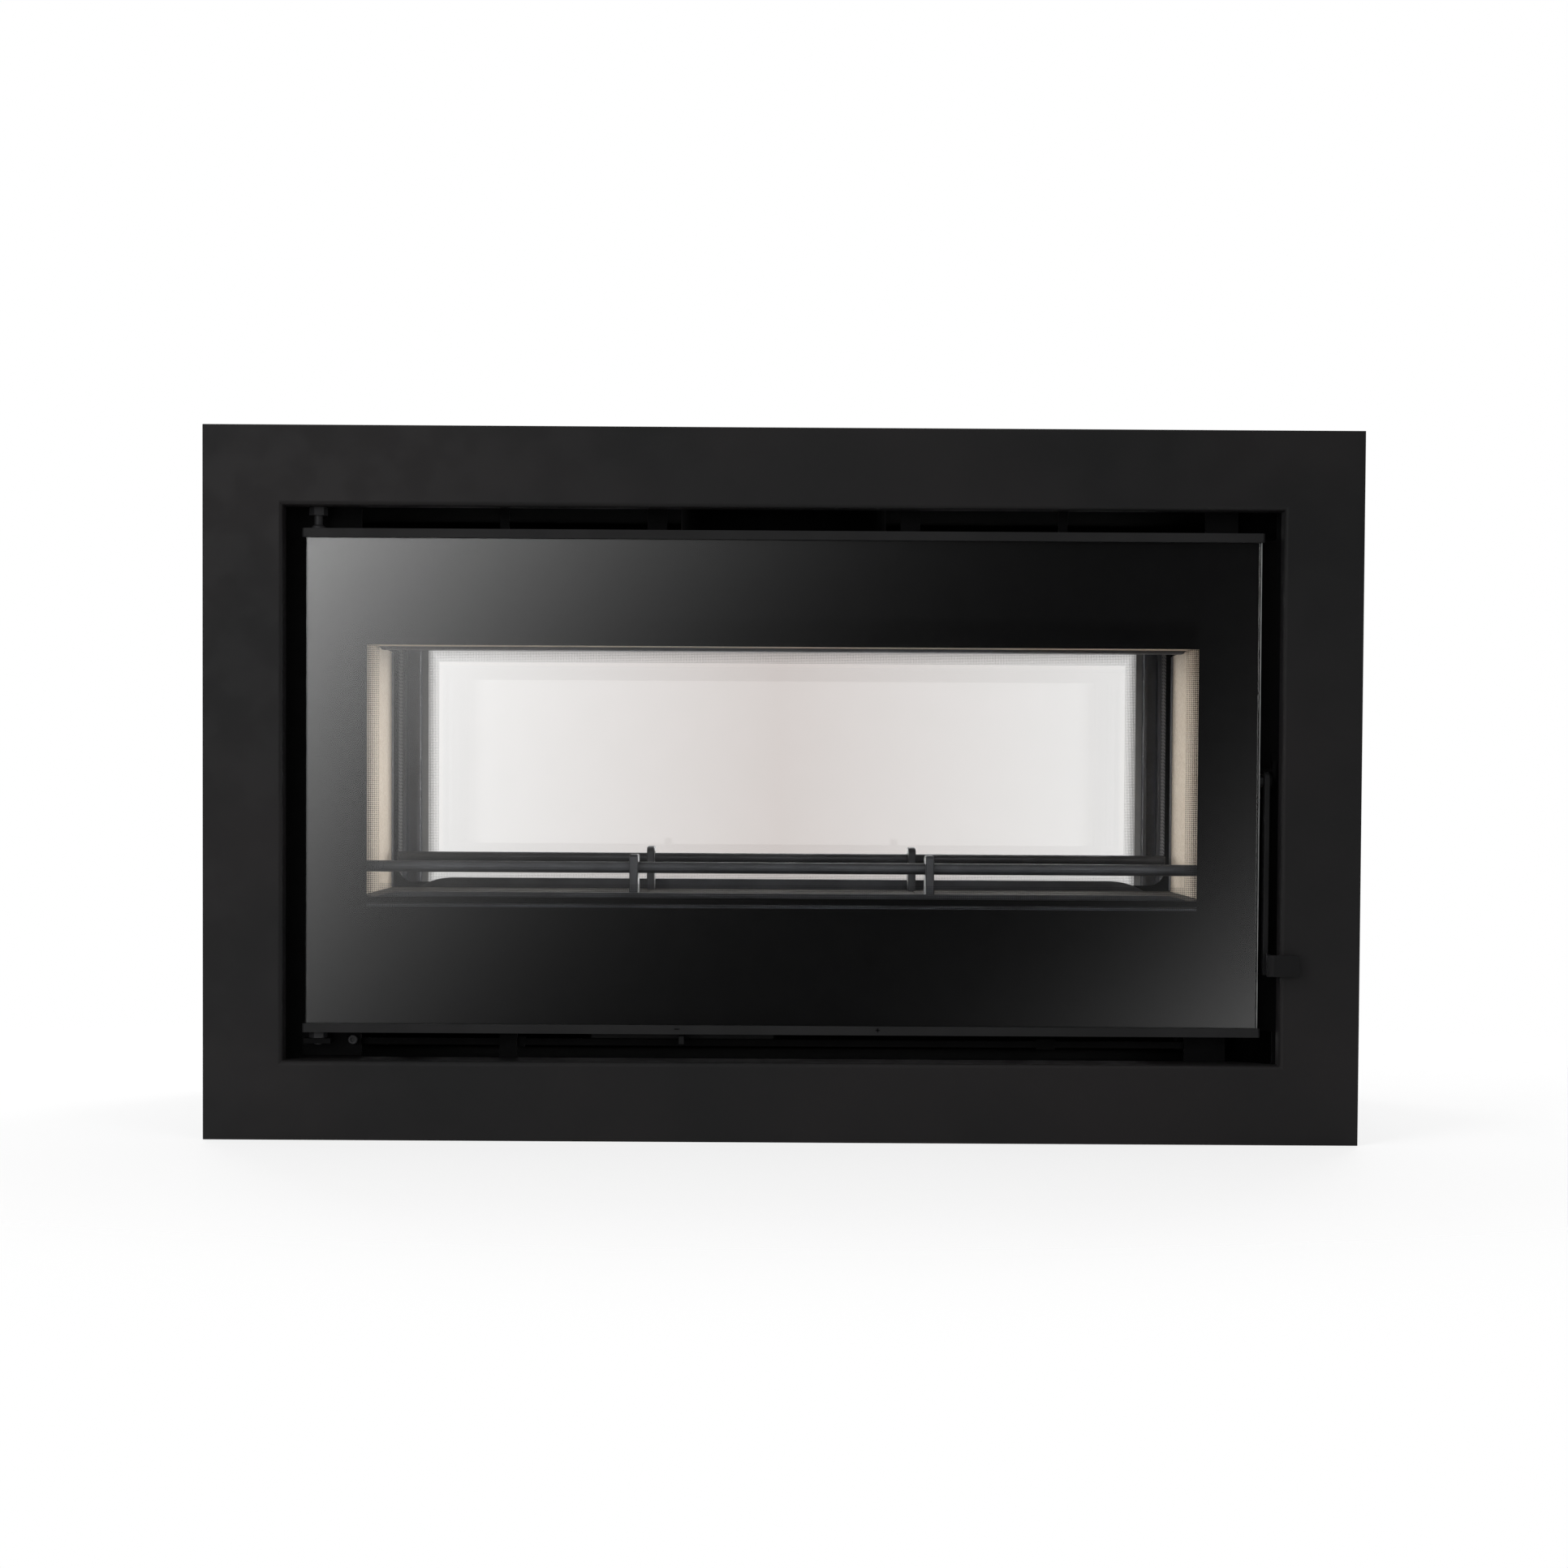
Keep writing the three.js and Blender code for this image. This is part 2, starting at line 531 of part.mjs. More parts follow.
function doorFrame() {
  const sheet = DOOR_FRAME_SHEET;
  const [front, back] = [doorFrameFront, doorFrameBack];
  const [grooveIn, grooveOut] = [SEAL_SETBACK - FIT, SEAL_SETBACK + SEAL_WIDTH + FIT];
  const groove = back - SEAL_GROOVE;
  const ring = mitredFrame([
    [0, back],
    [0, front],
    [DOOR_FRAME_BAND, front],
    [DOOR_FRAME_BAND, back],
    [DOOR_FRAME_BAND - sheet, back],
    [DOOR_FRAME_BAND - sheet, front + sheet],
    [grooveOut + sheet, front + sheet],
    [grooveOut + sheet, back],
    [grooveOut, back],
    [grooveOut, groove],
    [grooveIn, groove],
    [grooveIn, back],
    [grooveIn - sheet, back],
    [grooveIn - sheet, front + sheet],
    [sheet, front + sheet],
    [sheet, back],
  ], windowX, windowBottom, windowTop);

  // sheet behind the printed border, below and above the ring, folded at the door's edges
  const lowEdge = windowBottom - DOOR_FRAME_BAND;
  const highEdge = windowTop + DOOR_FRAME_BAND;
  const apron = block(-doorFrameX, doorFrameX, front, front + sheet, glassBottom, lowEdge + 1);
  const apronFold = block(-doorFrameX, doorFrameX, front, front + 2 * sheet, glassBottom, glassBottom + sheet);
  const head = block(-doorFrameX, doorFrameX, front, front + sheet, highEdge - 1, glassTop);

  const boss = (z0, z1) => block(hingeX - HINGE_BOSS / 2, hingeX + HINGE_BOSS / 2, front,
    HINGE_DEPTH + HINGE_BOSS / 2, z0, z1);
  const lowBoss = boss(glassBottom, glassBottom + HINGE_BOSS_HEIGHT);
  const highBoss = boss(glassTop - HINGE_BOSS_HEIGHT, glassTop);
  const bore = (z0, z1) => roundBar('z', PIN_RADIUS + FIT, z0, z1, hingeX, HINGE_DEPTH);
  const reach = PIN_ENGAGEMENT + 2 * FIT;
  const pivotBore = roundBar('x', PIVOT_RADIUS + FIT, doorFrameX - 2 * sheet, doorFrameX + 1,
    PIVOT_DEPTH, pivotZ, 16);
  return cut(join(ring, apron, apronFold, head, lowBoss, highBoss),
    bore(glassBottom - 1, glassBottom + reach), bore(glassTop - reach, glassTop + 1), pivotBore);
}

function ropeSeal() {
  const outline = (grow, radius, path) =>
    rectangle(path, -windowX - grow, windowBottom - grow, windowX + grow, windowTop + grow, radius);
  const ring = outline(SEAL_SETBACK + SEAL_WIDTH, 14, new THREE.Shape());
  ring.holes.push(outline(SEAL_SETBACK, 0, new THREE.Path()));
  return new THREE.ExtrudeGeometry(ring, {
    depth: SEAL_DEPTH - 2 * SEAL_ROUND,
    bevelSize: SEAL_ROUND,
    bevelThickness: SEAL_ROUND,
    bevelOffset: -SEAL_ROUND,
    bevelSegments: 2,
    curveSegments: 2,
  }).rotateX(Math.PI / 2).translate(0, sealFront + SEAL_DEPTH - SEAL_ROUND, 0);
}

// ---- hinge ---------------------------------------------------------------------------------------

const hingeBore = (z0, z1) => roundBar('z', PIN_RADIUS + FIT, z0, z1, hingeX, HINGE_DEPTH);
const upperTab = openingTop + FIT; // underside of the upper bracket's tab

function upperHingeBracket() {
  const back = FACE_DEPTH - FIT;
  const front = FRAME_RETURN + 2 * FIT;
  const [x0, x1] = [hingeX - BRACKET_WIDTH / 2, hingeX + BRACKET_WIDTH / 2];
  const angle = polygon([
    [front, upperTab],
    [back, upperTab],
    [back, upperTab + BRACKET_LEG],
    [back - BRACKET_SHEET, upperTab + BRACKET_LEG],
    [back - BRACKET_SHEET, upperTab + BRACKET_SHEET],
    [front, upperTab + BRACKET_SHEET],
  ]);
  return cut(acrossWidth(angle, x0, x1), hingeBore(upperTab - 1, upperTab + BRACKET_SHEET + 1));
}

function upperHingePin() {
  const nutTop = upperTab - FIT;
  const collar = doorTop + FIT;
  const pin = turned('z', [
    [0, glassTop - PIN_ENGAGEMENT],
    [PIN_RADIUS, glassTop - PIN_ENGAGEMENT],
    [PIN_RADIUS, collar],
    [PIN_COLLAR, collar],
    [PIN_COLLAR, collar + PIN_COLLAR_HEIGHT],
    [PIN_RADIUS, collar + 2 * PIN_COLLAR_HEIGHT],
    [PIN_RADIUS, upperTab + BRACKET_SHEET + 4 * FIT],
    [0, upperTab + BRACKET_SHEET + 4 * FIT],
  ], hingeX, HINGE_DEPTH);
  return join(pin, hexNut(NUT_FLATS, nutTop - TOP_NUT_HEIGHT, nutTop, hingeX, HINGE_DEPTH, NUT_TURN));
}

const lowerTab = doorBottom - FIT - BOTTOM_NUT_HEIGHT - FIT; // upper face of the lower bracket's tab

function lowerHingeBracket() {
  const back = FACE_DEPTH - FIT;
  const sheet = BRACKET_SHEET - 1;
  const legX = [hingeX - HINGE_BOSS - 2, hingeX + LOWER_LEG_REACH];
  const leg = block(...legX, back - sheet, back, lowerTab - BRACKET_LEG, lowerTab + BOTTOM_NUT_HEIGHT);
  const tab = block(hingeX - BRACKET_WIDTH / 2, hingeX + BRACKET_WIDTH / 2,
    HINGE_DEPTH - BRACKET_WIDTH / 3, back, lowerTab - BRACKET_SHEET, lowerTab);
  return cut(join(leg, tab), hingeBore(lowerTab - BRACKET_SHEET - 1, lowerTab + 1));
}

function lowerHingePin() {
  const end = lowerTab - BRACKET_SHEET - 4 * FIT;
  const pin = roundBar('z', PIN_RADIUS, end, glassBottom + PIN_ENGAGEMENT, hingeX, HINGE_DEPTH);
  return join(pin, hexNut(NUT_FLATS, lowerTab + FIT, doorBottom - FIT, hingeX, HINGE_DEPTH, NUT_TURN));
}

function hingeScrew() {
  const seat = FACE_DEPTH - FIT - (BRACKET_SHEET - 1) - FIT;
  const front = seat - SCREW_HEAD_HEIGHT;
  const rim = SCREW_HEAD_RADIUS - SCREW_CHAMFER;
  return turned('y', [
    [0, front + SCREW_SOCKET],
    [SCREW_HEAD_RADIUS / 2, front + SCREW_SOCKET],
    [SCREW_HEAD_RADIUS / 2, front],
    [rim, front],
    [SCREW_HEAD_RADIUS, front + SCREW_CHAMFER],
    [SCREW_HEAD_RADIUS, seat],
    [0, seat],
  ], hingeX + LOWER_LEG_REACH - SCREW_INSET, lowerTab - BRACKET_SHEET / 2, 18);
}

// ---- handle --------------------------------------------------------------------------------------

// The lever is an upright plate: a round head on the pivot bolt, a hook behind it that dips under the
// keeper, and a straight arm. A strip at its foot comes forward and bends outwards as the finger tab.
function handleLever() {
  const [y, z] = [PIVOT_DEPTH, pivotZ];
  const half = LEVER_WIDTH / 2;
  const tabTop = z - TAB_DROP;
  const tabBottom = tabTop - TAB_HEIGHT;
  const plates = [block(pivotX, pivotX + LEVER_THICK, y - half, y + half, tabBottom, z)];
  plates.push(roundBar('x', LEVER_HEAD, pivotX, pivotX + LEVER_THICK, y, z, 28));

  const hookOuter = faceBack - y - HOOK_REAR_GAP;
  const hookInner = hookOuter - HOOK_SHEET;
  const tip = THREE.MathUtils.degToRad(HOOK_TIP);
  const root = -THREE.MathUtils.degToRad(HOOK_ROOT);
  const hook = new THREE.Shape();
  hook.moveTo(y, z);
  hook.lineTo(y + hookOuter * Math.cos(root), z + hookOuter * Math.sin(root));
  hook.absarc(y, z, hookOuter, root, tip);
  hook.lineTo(y + hookInner * Math.cos(tip), z + hookInner * Math.sin(tip));
  hook.absarc(y, z, hookInner, tip, root / 3, true);
  hook.closePath();
  plates.push(acrossWidth(hook, pivotX, pivotX + LEVER_THICK, 4));

  const tabFront = -TAB_STANDOFF - TAB_SHEET;
  const tabEnd = openingX + TAB_REACH;
  const stripStart = y - half / 2;
  const tab = new THREE.Shape();
  tab.moveTo(pivotX, stripStart);
  tab.absarc(pivotX + TAB_BEND, tabFront + TAB_BEND, TAB_BEND, Math.PI, 1.5 * Math.PI);
  tab.lineTo(tabEnd, tabFront);
  tab.lineTo(tabEnd, tabFront + TAB_SHEET);
  tab.absarc(pivotX + TAB_BEND, tabFront + TAB_BEND, TAB_BEND - TAB_SHEET, 1.5 * Math.PI, Math.PI, true);
  tab.lineTo(pivotX + TAB_SHEET, stripStart);
  tab.closePath();
  plates.push(upwards(tab, tabBottom, tabTop, 6));

  const bore = roundBar('x', PIVOT_RADIUS + FIT, pivotX - 1, pivotX + LEVER_THICK + 1, y, z, 16);
  return cut(join(...plates), bore);
}

function pivotBolt() {
  const spacerEnd = pivotX - FIT;
  const headSeat = pivotX + LEVER_THICK + FIT;
  return turned('x', [
    [0, doorFrameX - DOOR_FRAME_SHEET - BOLT_TAIL],
    [PIVOT_RADIUS, doorFrameX - DOOR_FRAME_SHEET - BOLT_TAIL],
    [PIVOT_RADIUS, doorFrameX + FIT],
    [SPACER_RADIUS, doorFrameX + FIT],
    [SPACER_RADIUS, spacerEnd],
    [PIVOT_RADIUS, spacerEnd],
    [PIVOT_RADIUS, headSeat],
    [BUTTON_RADIUS, headSeat],
    [BUTTON_RADIUS * BUTTON_SHOULDER, headSeat + BUTTON_HEIGHT / 2],
    [BUTTON_RADIUS * BUTTON_CROWN, headSeat + BUTTON_HEIGHT],
    [0, headSeat + BUTTON_HEIGHT],
  ], PIVOT_DEPTH, pivotZ, 20);
}

function latchKeeper() {
  const back = FACE_DEPTH - FIT;
  const earX = pivotX + LEVER_THICK + FIT + BUTTON_HEIGHT + 2 * FIT;
  const pinY = PIVOT_DEPTH + KEEPER_ORBIT * Math.SQRT1_2;
  const pinZ = pivotZ + KEEPER_ORBIT * Math.SQRT1_2;
  const ear = block(earX, earX + KEEPER_SHEET, pinY - 2 * KEEPER_RADIUS, back,
    pinZ - KEEPER_EAR_HALF, pinZ + KEEPER_EAR_HALF);
  const foot = block(earX, earX + KEEPER_FOOT_WIDTH, back - KEEPER_SHEET, back,
    pinZ - KEEPER_FOOT_BELOW, pinZ + KEEPER_FOOT_ABOVE);
  const pin = roundBar('x', KEEPER_RADIUS, pivotX - KEEPER_PIN_END, earX + 1, pinY, pinZ, 14);
  return join(ear, foot, pin);
}

// ---- log guard -----------------------------------------------------------------------------------

function guardPlate() {
  const top = mouthBottom + GUARD_ABOVE_SILL;
  const bottom = fireboxFloor + 2 * FIT;
  const flat = guardX - GUARD_SHOULDER;
  const sweep = Math.asin(GUARD_SHOULDER / GUARD_CORNER);
  const outline = new THREE.Shape();
  outline.moveTo(-guardX, bottom).lineTo(guardX, bottom);
  outline.absarc(flat, top - GUARD_CORNER, GUARD_CORNER, Math.PI / 2 - sweep, Math.PI / 2);
  outline.absarc(-flat, top - GUARD_CORNER, GUARD_CORNER, Math.PI / 2, Math.PI / 2 + sweep);
  outline.closePath();
  return acrossDepth(outline, faceBack + 2 * FIT, faceBack + 2 * FIT + GUARD_SHEET, 3);
}

const postFront = faceBack + POST_SETBACK;
const barDepth = postFront + BAR_INSET;
const barZ = hearthTop + BAR_HEIGHT;

function guardPost(x) {
  const bottom = hearthTop + FIT;
  const top = hearthTop + POST_HEIGHT;
  const back = postFront + POST_DEPTH;
  const outline = new THREE.Shape();
  outline.moveTo(postFront, bottom).lineTo(back, bottom).lineTo(back, top - POST_ROUND);
  outline.absarc(back - POST_ROUND, top - POST_ROUND, POST_ROUND, 0, Math.PI / 2);
  outline.lineTo(postFront + 2, top).lineTo(postFront, top - 2);
  outline.closePath();
  const hole = new THREE.Path();
  hole.absarc(barDepth, barZ, BAR_RADIUS + FIT, 0, 2 * Math.PI, true);
  outline.holes.push(hole);
  return acrossWidth(outline, x - POST_THICK / 2, x + POST_THICK / 2, 5, POST_EDGE);
}

function guardBar() {
  const end = linerX - BAR_END_GAP;
  return turned('x', [
    [0, -end],
    [BAR_RADIUS - 1, -end],
    [BAR_RADIUS, -end + 1],
    [BAR_RADIUS, end - 1],
    [BAR_RADIUS - 1, end],
    [0, end],
  ], barDepth, barZ, 16);
}

// ---- air-wash deflector above the mouth -----------------------------------------------------------

function deflector(drop) {
  const front = faceBack + FIT;
  const x = mouthX + MOUTH_LAP - 2;
  return block(-x, x, front, front + DEFLECTOR_SHEET, mouthTop - drop, mouthTop + DEFLECTOR_RISE);
}

// ---- one side of the stove --------------------------------------------------------------------------

function side(prefix, deflectorDrop) {
  const pieces = [
    ['frame', pictureFrame(), framePaint],
    ['face_plate', facePlate(), bodyPaint],
    ['door_glass', doorGlass(), glassPane],
    ['door_top_rail', doorRail(doorTop, -1), railPaint],
    ['door_bottom_rail', doorRail(doorBottom, 1), railPaint],
    ['door_inner_frame', doorFrame(), fireSteel],
    ['door_rope_seal', ropeSeal(), ropeFibre],
    ['hinge_top_bracket', upperHingeBracket(), bodyPaint],
    ['hinge_top_pin', upperHingePin(), darkScrew],
    ['hinge_bottom_bracket', lowerHingeBracket(), bodyPaint],
    ['hinge_bottom_pin', lowerHingePin(), darkScrew],
    ['hinge_screw', hingeScrew(), darkScrew],
    ['handle_lever', handleLever(), leverBlack],
    ['handle_pivot_bolt', pivotBolt(), leverBlack],
    ['latch_keeper', latchKeeper(), bodyPaint],
    ['guard_plate', guardPlate(), guardIron],
    ['guard_post_left', guardPost(-POST_OFFSET), guardIron],
    ['guard_post_right', guardPost(POST_OFFSET), guardIron],
    ['guard_bar', guardBar(), guardIron],
    ['air_wash_deflector', deflector(deflectorDrop), bodyPaint],
  ];
  const group = new THREE.Group();
  for (const [name, geometry, look] of pieces) group.add(named(`${prefix}_${name}`, geometry, look));
  return group;
}

// ---- body: y is the depth behind the front picture frame, as on the front side ----------------------

const middle = STOVE_DEPTH / 2;

function flueHole(radius, z0, z1) {
  return roundBar('z', radius, z0, z1, 0, middle, 40);
}

const footPlaces = [];
for (const x of [-casingX + FOOT_INSET_X, casingX - FOOT_INSET_X]) {
  for (const y of [FOOT_INSET_Y, STOVE_DEPTH - FOOT_INSET_Y]) footPlaces.push([x, y]);
}

function casing() {
  const shell = rectangle(new THREE.Shape(), -casingX, casingBottom, casingX, casingTop, CASING_CORNER);
  const inner = [casingX - CASING_SHEET, casingBottom + CASING_SHEET, casingTop - CASING_SHEET];
  shell.holes.push(rectangle(new THREE.Path(), -inner[0], inner[1], inner[0], inner[2],
    CASING_CORNER - CASING_SHEET));
  const front = FRAME_SHEET + FIT;
  const holes = footPlaces.map(([x, y]) =>
    roundBar('z', FOOT_STEM + FIT, casingBottom - 1, casingBottom + CASING_SHEET + 1, x, y, 16));
  return cut(acrossDepth(shell, front, STOVE_DEPTH - front),
    flueHole(FLUE_RADIUS + FIT, casingTop - CASING_SHEET - 1, casingTop + 1), ...holes);
}

function firebox() {
  const shell = rectangle(new THREE.Shape(), -fireboxX, fireboxBottom, fireboxX, fireboxTop, FIREBOX_CORNER);
  shell.holes.push(rectangle(new THREE.Path(), -fireboxInnerX, fireboxFloor, fireboxInnerX,
    fireboxTop - FIREBOX_SHEET, 1));
  const front = faceBack + FIT;
  return cut(acrossDepth(shell, front, STOVE_DEPTH - front),
    flueHole(FLUE_RADIUS - FLUE_SHEET, fireboxTop - FIREBOX_SHEET - 1, fireboxTop + 1));
}

function flueCollar() {
  const base = fireboxTop + FIT;
  const top = casingTop + FLUE_RISE;
  const inner = FLUE_RADIUS - FLUE_SHEET;
  const bead = casingTop + FLUE_RISE / 2;
  return turned('z', [
    [inner, base],
    [FLUE_RADIUS + FLUE_FLANGE, base],
    [FLUE_RADIUS + FLUE_FLANGE, base + FLUE_FLANGE_THICK],
    [FLUE_RADIUS, base + FLUE_FLANGE_THICK],
    [FLUE_RADIUS, bead - FLUE_BEAD_HALF],
    [FLUE_RADIUS + FLUE_BEAD, bead],
    [FLUE_RADIUS, bead + FLUE_BEAD_HALF],
    [FLUE_RADIUS, top],
    [inner, top],
    [inner, base],
  ], 0, middle, 40);
}

function sideLiner(direction) {
  const [near, far] = [direction * linerX, direction * (linerX + LINER_THICK)];
  return block(Math.min(near, far), Math.max(near, far), liningStart, liningEnd,
    fireboxFloor + FIT, linerTop);
}

function hearthBrick(index) {
  const span = 2 * (linerX - FIT);
  const width = (span - (BRICK_COUNT - 1) * BRICK_JOINT) / BRICK_COUNT;
  const x = -span / 2 + index * (width + BRICK_JOINT);
  return block(x, x + width, liningStart, liningEnd, fireboxFloor + FIT, hearthTop);
}

const baffleBottom = linerTop + FIT;
const baffleFront = middle - BAFFLE_DEPTH / 2;

function baffle() {
  const x = fireboxInnerX - 3;
  return block(-x, x, baffleFront, baffleFront + BAFFLE_DEPTH, baffleBottom, baffleBottom + BAFFLE_THICK);
}

// A steel channel that grips one long edge of the baffle. It hangs between the liners.
function baffleEdge(direction) {
  const sheet = BAFFLE_EDGE_SHEET;
  const x = linerX - 3 * FIT;
  const web = middle + direction * (BAFFLE_DEPTH / 2 + FIT);
  const outer = web + direction * sheet;
  const legEnd = web - direction * BAFFLE_EDGE_LEG;
  const [low, high] = [baffleBottom - FIT, baffleBottom + BAFFLE_THICK + FIT];
  const channel = acrossWidth(polygon([
    [outer, low - sheet],
    [outer, high + sheet],
    [legEnd, high + sheet],
    [legEnd, high],
    [web, high],
    [web, low],
    [legEnd, low],
    [legEnd, low - sheet],
  ]), -x, x);
  const chamfer = (end) => acrossDepth(polygon([
    [end, low + 1],
    [end + Math.sign(end) * 2, low + 1],
    [end + Math.sign(end) * 2, low - sheet - 1],
    [end - Math.sign(end) * BAFFLE_EDGE_CHAMFER, low - sheet - 1],
  ]), middle - BAFFLE_DEPTH, middle + BAFFLE_DEPTH);
  return cut(channel, chamfer(-x), chamfer(x));
}

// ---- air control ------------------------------------------------------------------------------------

function airBox() {
  const half = AIR_BOX_WIDTH / 2;
  const [y0, y1] = [airBoxFront, STOVE_DEPTH - airBoxFront];
  const top = fireboxBottom - FIT;
  const bottom = top - AIR_BOX_HEIGHT;
  const sheet = AIR_BOX_SHEET;
  const hollow = block(-half + sheet, half - sheet, y0 + sheet, y1 - sheet, bottom + sheet, top + 1);
  const holeZ = bottom + AIR_BOX_HEIGHT / 2;
  const holes = [-AIR_HOLE_OFFSET, AIR_HOLE_OFFSET].map((offset) => {
    const x = SLIDE_REST_X + offset;
    return block(x - AIR_HOLE_WIDTH / 2, x + AIR_HOLE_WIDTH / 2, y0 - 1, y0 + sheet + 1,
      holeZ - AIR_HOLE_HEIGHT / 2, holeZ + AIR_HOLE_HEIGHT / 2);
  });
  return cut(block(-half, half, y0, y1, bottom, top), hollow, ...holes);
}

function slideRail() {
  const [y0, y1] = [faceBack + FIT, faceBack + FIT + SLIDE_RAIL_SHEET];
  const low = railTop - SLIDE_RAIL_HEIGHT;
  const rail = block(-slideRailX, slideRailX, y0, y1, low, railTop);
  const stop = (x) => block(x - SLIDE_STOP_WIDTH / 2, x + SLIDE_STOP_WIDTH / 2, y0, y1,
    low - SLIDE_STOP_DROP, railTop + SLIDE_STOP_DROP);
  return join(rail, stop(-SLIDE_STOP_X), stop(SLIDE_STOP_X));
}

// At rest the shutter plate covers the air box's holes, and it clears them at the end of its travel.
// The lever tab comes out through the lower slot, over the rail, with the shutter plate behind it.
function airControl() {
  const shutterFront = faceBack + FIT + SLIDE_RAIL_SHEET + FIT;
  const low = railTop + FIT;
  const high = low + SLIDE_LEVER_HEIGHT;
  const lever = acrossWidth(polygon([
    [SLIDE_LEVER_FRONT, low - SLIDE_LEVER_LIP],
    [faceBack - FACE_SHEET, low - SLIDE_LEVER_LIP],
    [faceBack - FACE_SHEET, low],
    [shutterFront + 1, low],
    [shutterFront + 1, high],
    [SLIDE_LEVER_FRONT + SLIDE_LEVER_CHAMFER, high],
    [SLIDE_LEVER_FRONT, high - SLIDE_LEVER_CHAMFER],
  ]), SLIDE_REST_X - SLIDE_LEVER_THICK / 2, SLIDE_REST_X + SLIDE_LEVER_THICK / 2);
  const shutter = block(SLIDE_REST_X - SHUTTER_WIDTH / 2, SLIDE_REST_X + SHUTTER_WIDTH / 2,
    shutterFront, shutterFront + SHUTTER_SHEET, low, low + SHUTTER_HEIGHT);
  return join(lever, shutter);
}

// ---- levelling foot -----------------------------------------------------------------------------------

function levellingFoot([x, y]) {
  const stem = turned('z', [
    [0, 0],
    [FOOT_RADIUS, 0],
    [FOOT_RADIUS, FOOT_PAD - 1],
    [FOOT_STEM + 3, FOOT_PAD + 2],
    [FOOT_STEM, FOOT_PAD + 2],
    [FOOT_STEM, casingBottom + FOOT_STEM_END],
    [0, casingBottom + FOOT_STEM_END],
  ], x, y, 18);
  const nutTop = casingBottom - FIT;
  return join(stem, hexNut(FOOT_NUT_FLATS, nutTop - FOOT_NUT_HEIGHT, nutTop, x, y));
}

// ---- assembly -------------------------------------------------------------------------------------------

const stove = new THREE.Group();

const front = side('front', DEFLECTOR_FRONT_DROP);
front.position.y = -middle;
stove.add(front);

const rear = side('rear', DEFLECTOR_REAR_DROP);
rear.rotation.z = Math.PI;
rear.position.y = middle;
stove.add(rear);

const body = new THREE.Group();
body.position.y = -middle;
body.add(named('casing', casing(), casingSteel));
body.add(named('firebox', firebox(), fireSteel));
body.add(named('flue_collar', flueCollar(), fireSteel));
body.add(named('liner_left', sideLiner(-1), vermiculite));
body.add(named('liner_right', sideLiner(1), vermiculite));
for (let i = 0; i < BRICK_COUNT; i++) body.add(named(`hearth_brick_${i + 1}`, hearthBrick(i), sootedBrick));
body.add(named('baffle', baffle(), vermiculite));
body.add(named('baffle_edge_front', baffleEdge(-1), fireSteel));
body.add(named('baffle_edge_rear', baffleEdge(1), fireSteel));
body.add(named('air_box', airBox(), fireSteel));
body.add(named('air_slide_rail', slideRail(), fireSteel));
body.add(named('air_control', airControl(), leverBlack));
footPlaces.forEach((place, i) => body.add(named(`levelling_foot_${i + 1}`, levellingFoot(place), darkScrew)));
stove.add(body);

export default stove;
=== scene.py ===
"""Dresses the see-through fireplace insert: its finishes, printed glass borders, small trim and a studio stage."""
import json
import math

import bmesh
import bpy
from bpy.props import FloatProperty, FloatVectorProperty, PointerProperty
from mathutils import Matrix, Vector

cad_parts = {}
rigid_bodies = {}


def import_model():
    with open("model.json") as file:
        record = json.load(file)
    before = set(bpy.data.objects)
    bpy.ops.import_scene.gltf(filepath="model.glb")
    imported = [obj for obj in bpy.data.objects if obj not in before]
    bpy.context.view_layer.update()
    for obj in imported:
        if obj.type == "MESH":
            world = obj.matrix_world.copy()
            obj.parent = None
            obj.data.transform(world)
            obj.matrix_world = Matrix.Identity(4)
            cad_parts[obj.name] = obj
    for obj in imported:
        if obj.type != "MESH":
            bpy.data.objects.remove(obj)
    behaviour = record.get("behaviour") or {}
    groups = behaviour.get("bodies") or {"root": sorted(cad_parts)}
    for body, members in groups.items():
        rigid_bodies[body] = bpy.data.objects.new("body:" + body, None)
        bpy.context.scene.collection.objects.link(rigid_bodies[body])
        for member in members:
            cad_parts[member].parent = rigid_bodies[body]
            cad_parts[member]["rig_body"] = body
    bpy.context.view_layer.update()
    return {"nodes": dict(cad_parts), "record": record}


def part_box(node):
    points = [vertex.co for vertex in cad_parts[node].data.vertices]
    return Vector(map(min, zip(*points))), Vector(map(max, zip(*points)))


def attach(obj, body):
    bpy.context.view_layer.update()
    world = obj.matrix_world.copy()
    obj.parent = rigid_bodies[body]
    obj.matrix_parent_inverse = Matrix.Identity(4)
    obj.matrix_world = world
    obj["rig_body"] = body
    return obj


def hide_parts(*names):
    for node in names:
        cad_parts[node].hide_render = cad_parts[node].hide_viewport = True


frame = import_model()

bl_info = {
    "name": "See-through fireplace insert",
    "version": (1, 0, 0),
    "blender": (4, 5, 0),
    "location": "3D View > Sidebar > Insert",
    "description": "Finishes, printed glass borders, small trim and a studio stage for a fireplace insert",
    "category": "Object",
}

NODES = frame["nodes"]
SLOT_OF = {part["node"]: part["material_slot"] for part in frame["record"]["subparts"]}
SIDES = (("front", -1.0), ("rear", 1.0))
MM = 0.001


# ---------------------------------------------------------------- sizes and colours


def colour(name, description, default):
    """A colour setting, in linear values."""
    return FloatVectorProperty(
        name=name, description=description, subtype="COLOR", size=3, min=0.0, max=1.0, default=default
    )


def length(name, description, default):
    """A length setting, in metres."""
    return FloatProperty(name=name, description=description, default=default, unit="LENGTH", precision=5)


def number(name, description, default, low=0.0, high=1.0):
    """A plain number setting."""
    return FloatProperty(name=name, description=description, default=default, min=low, max=high)


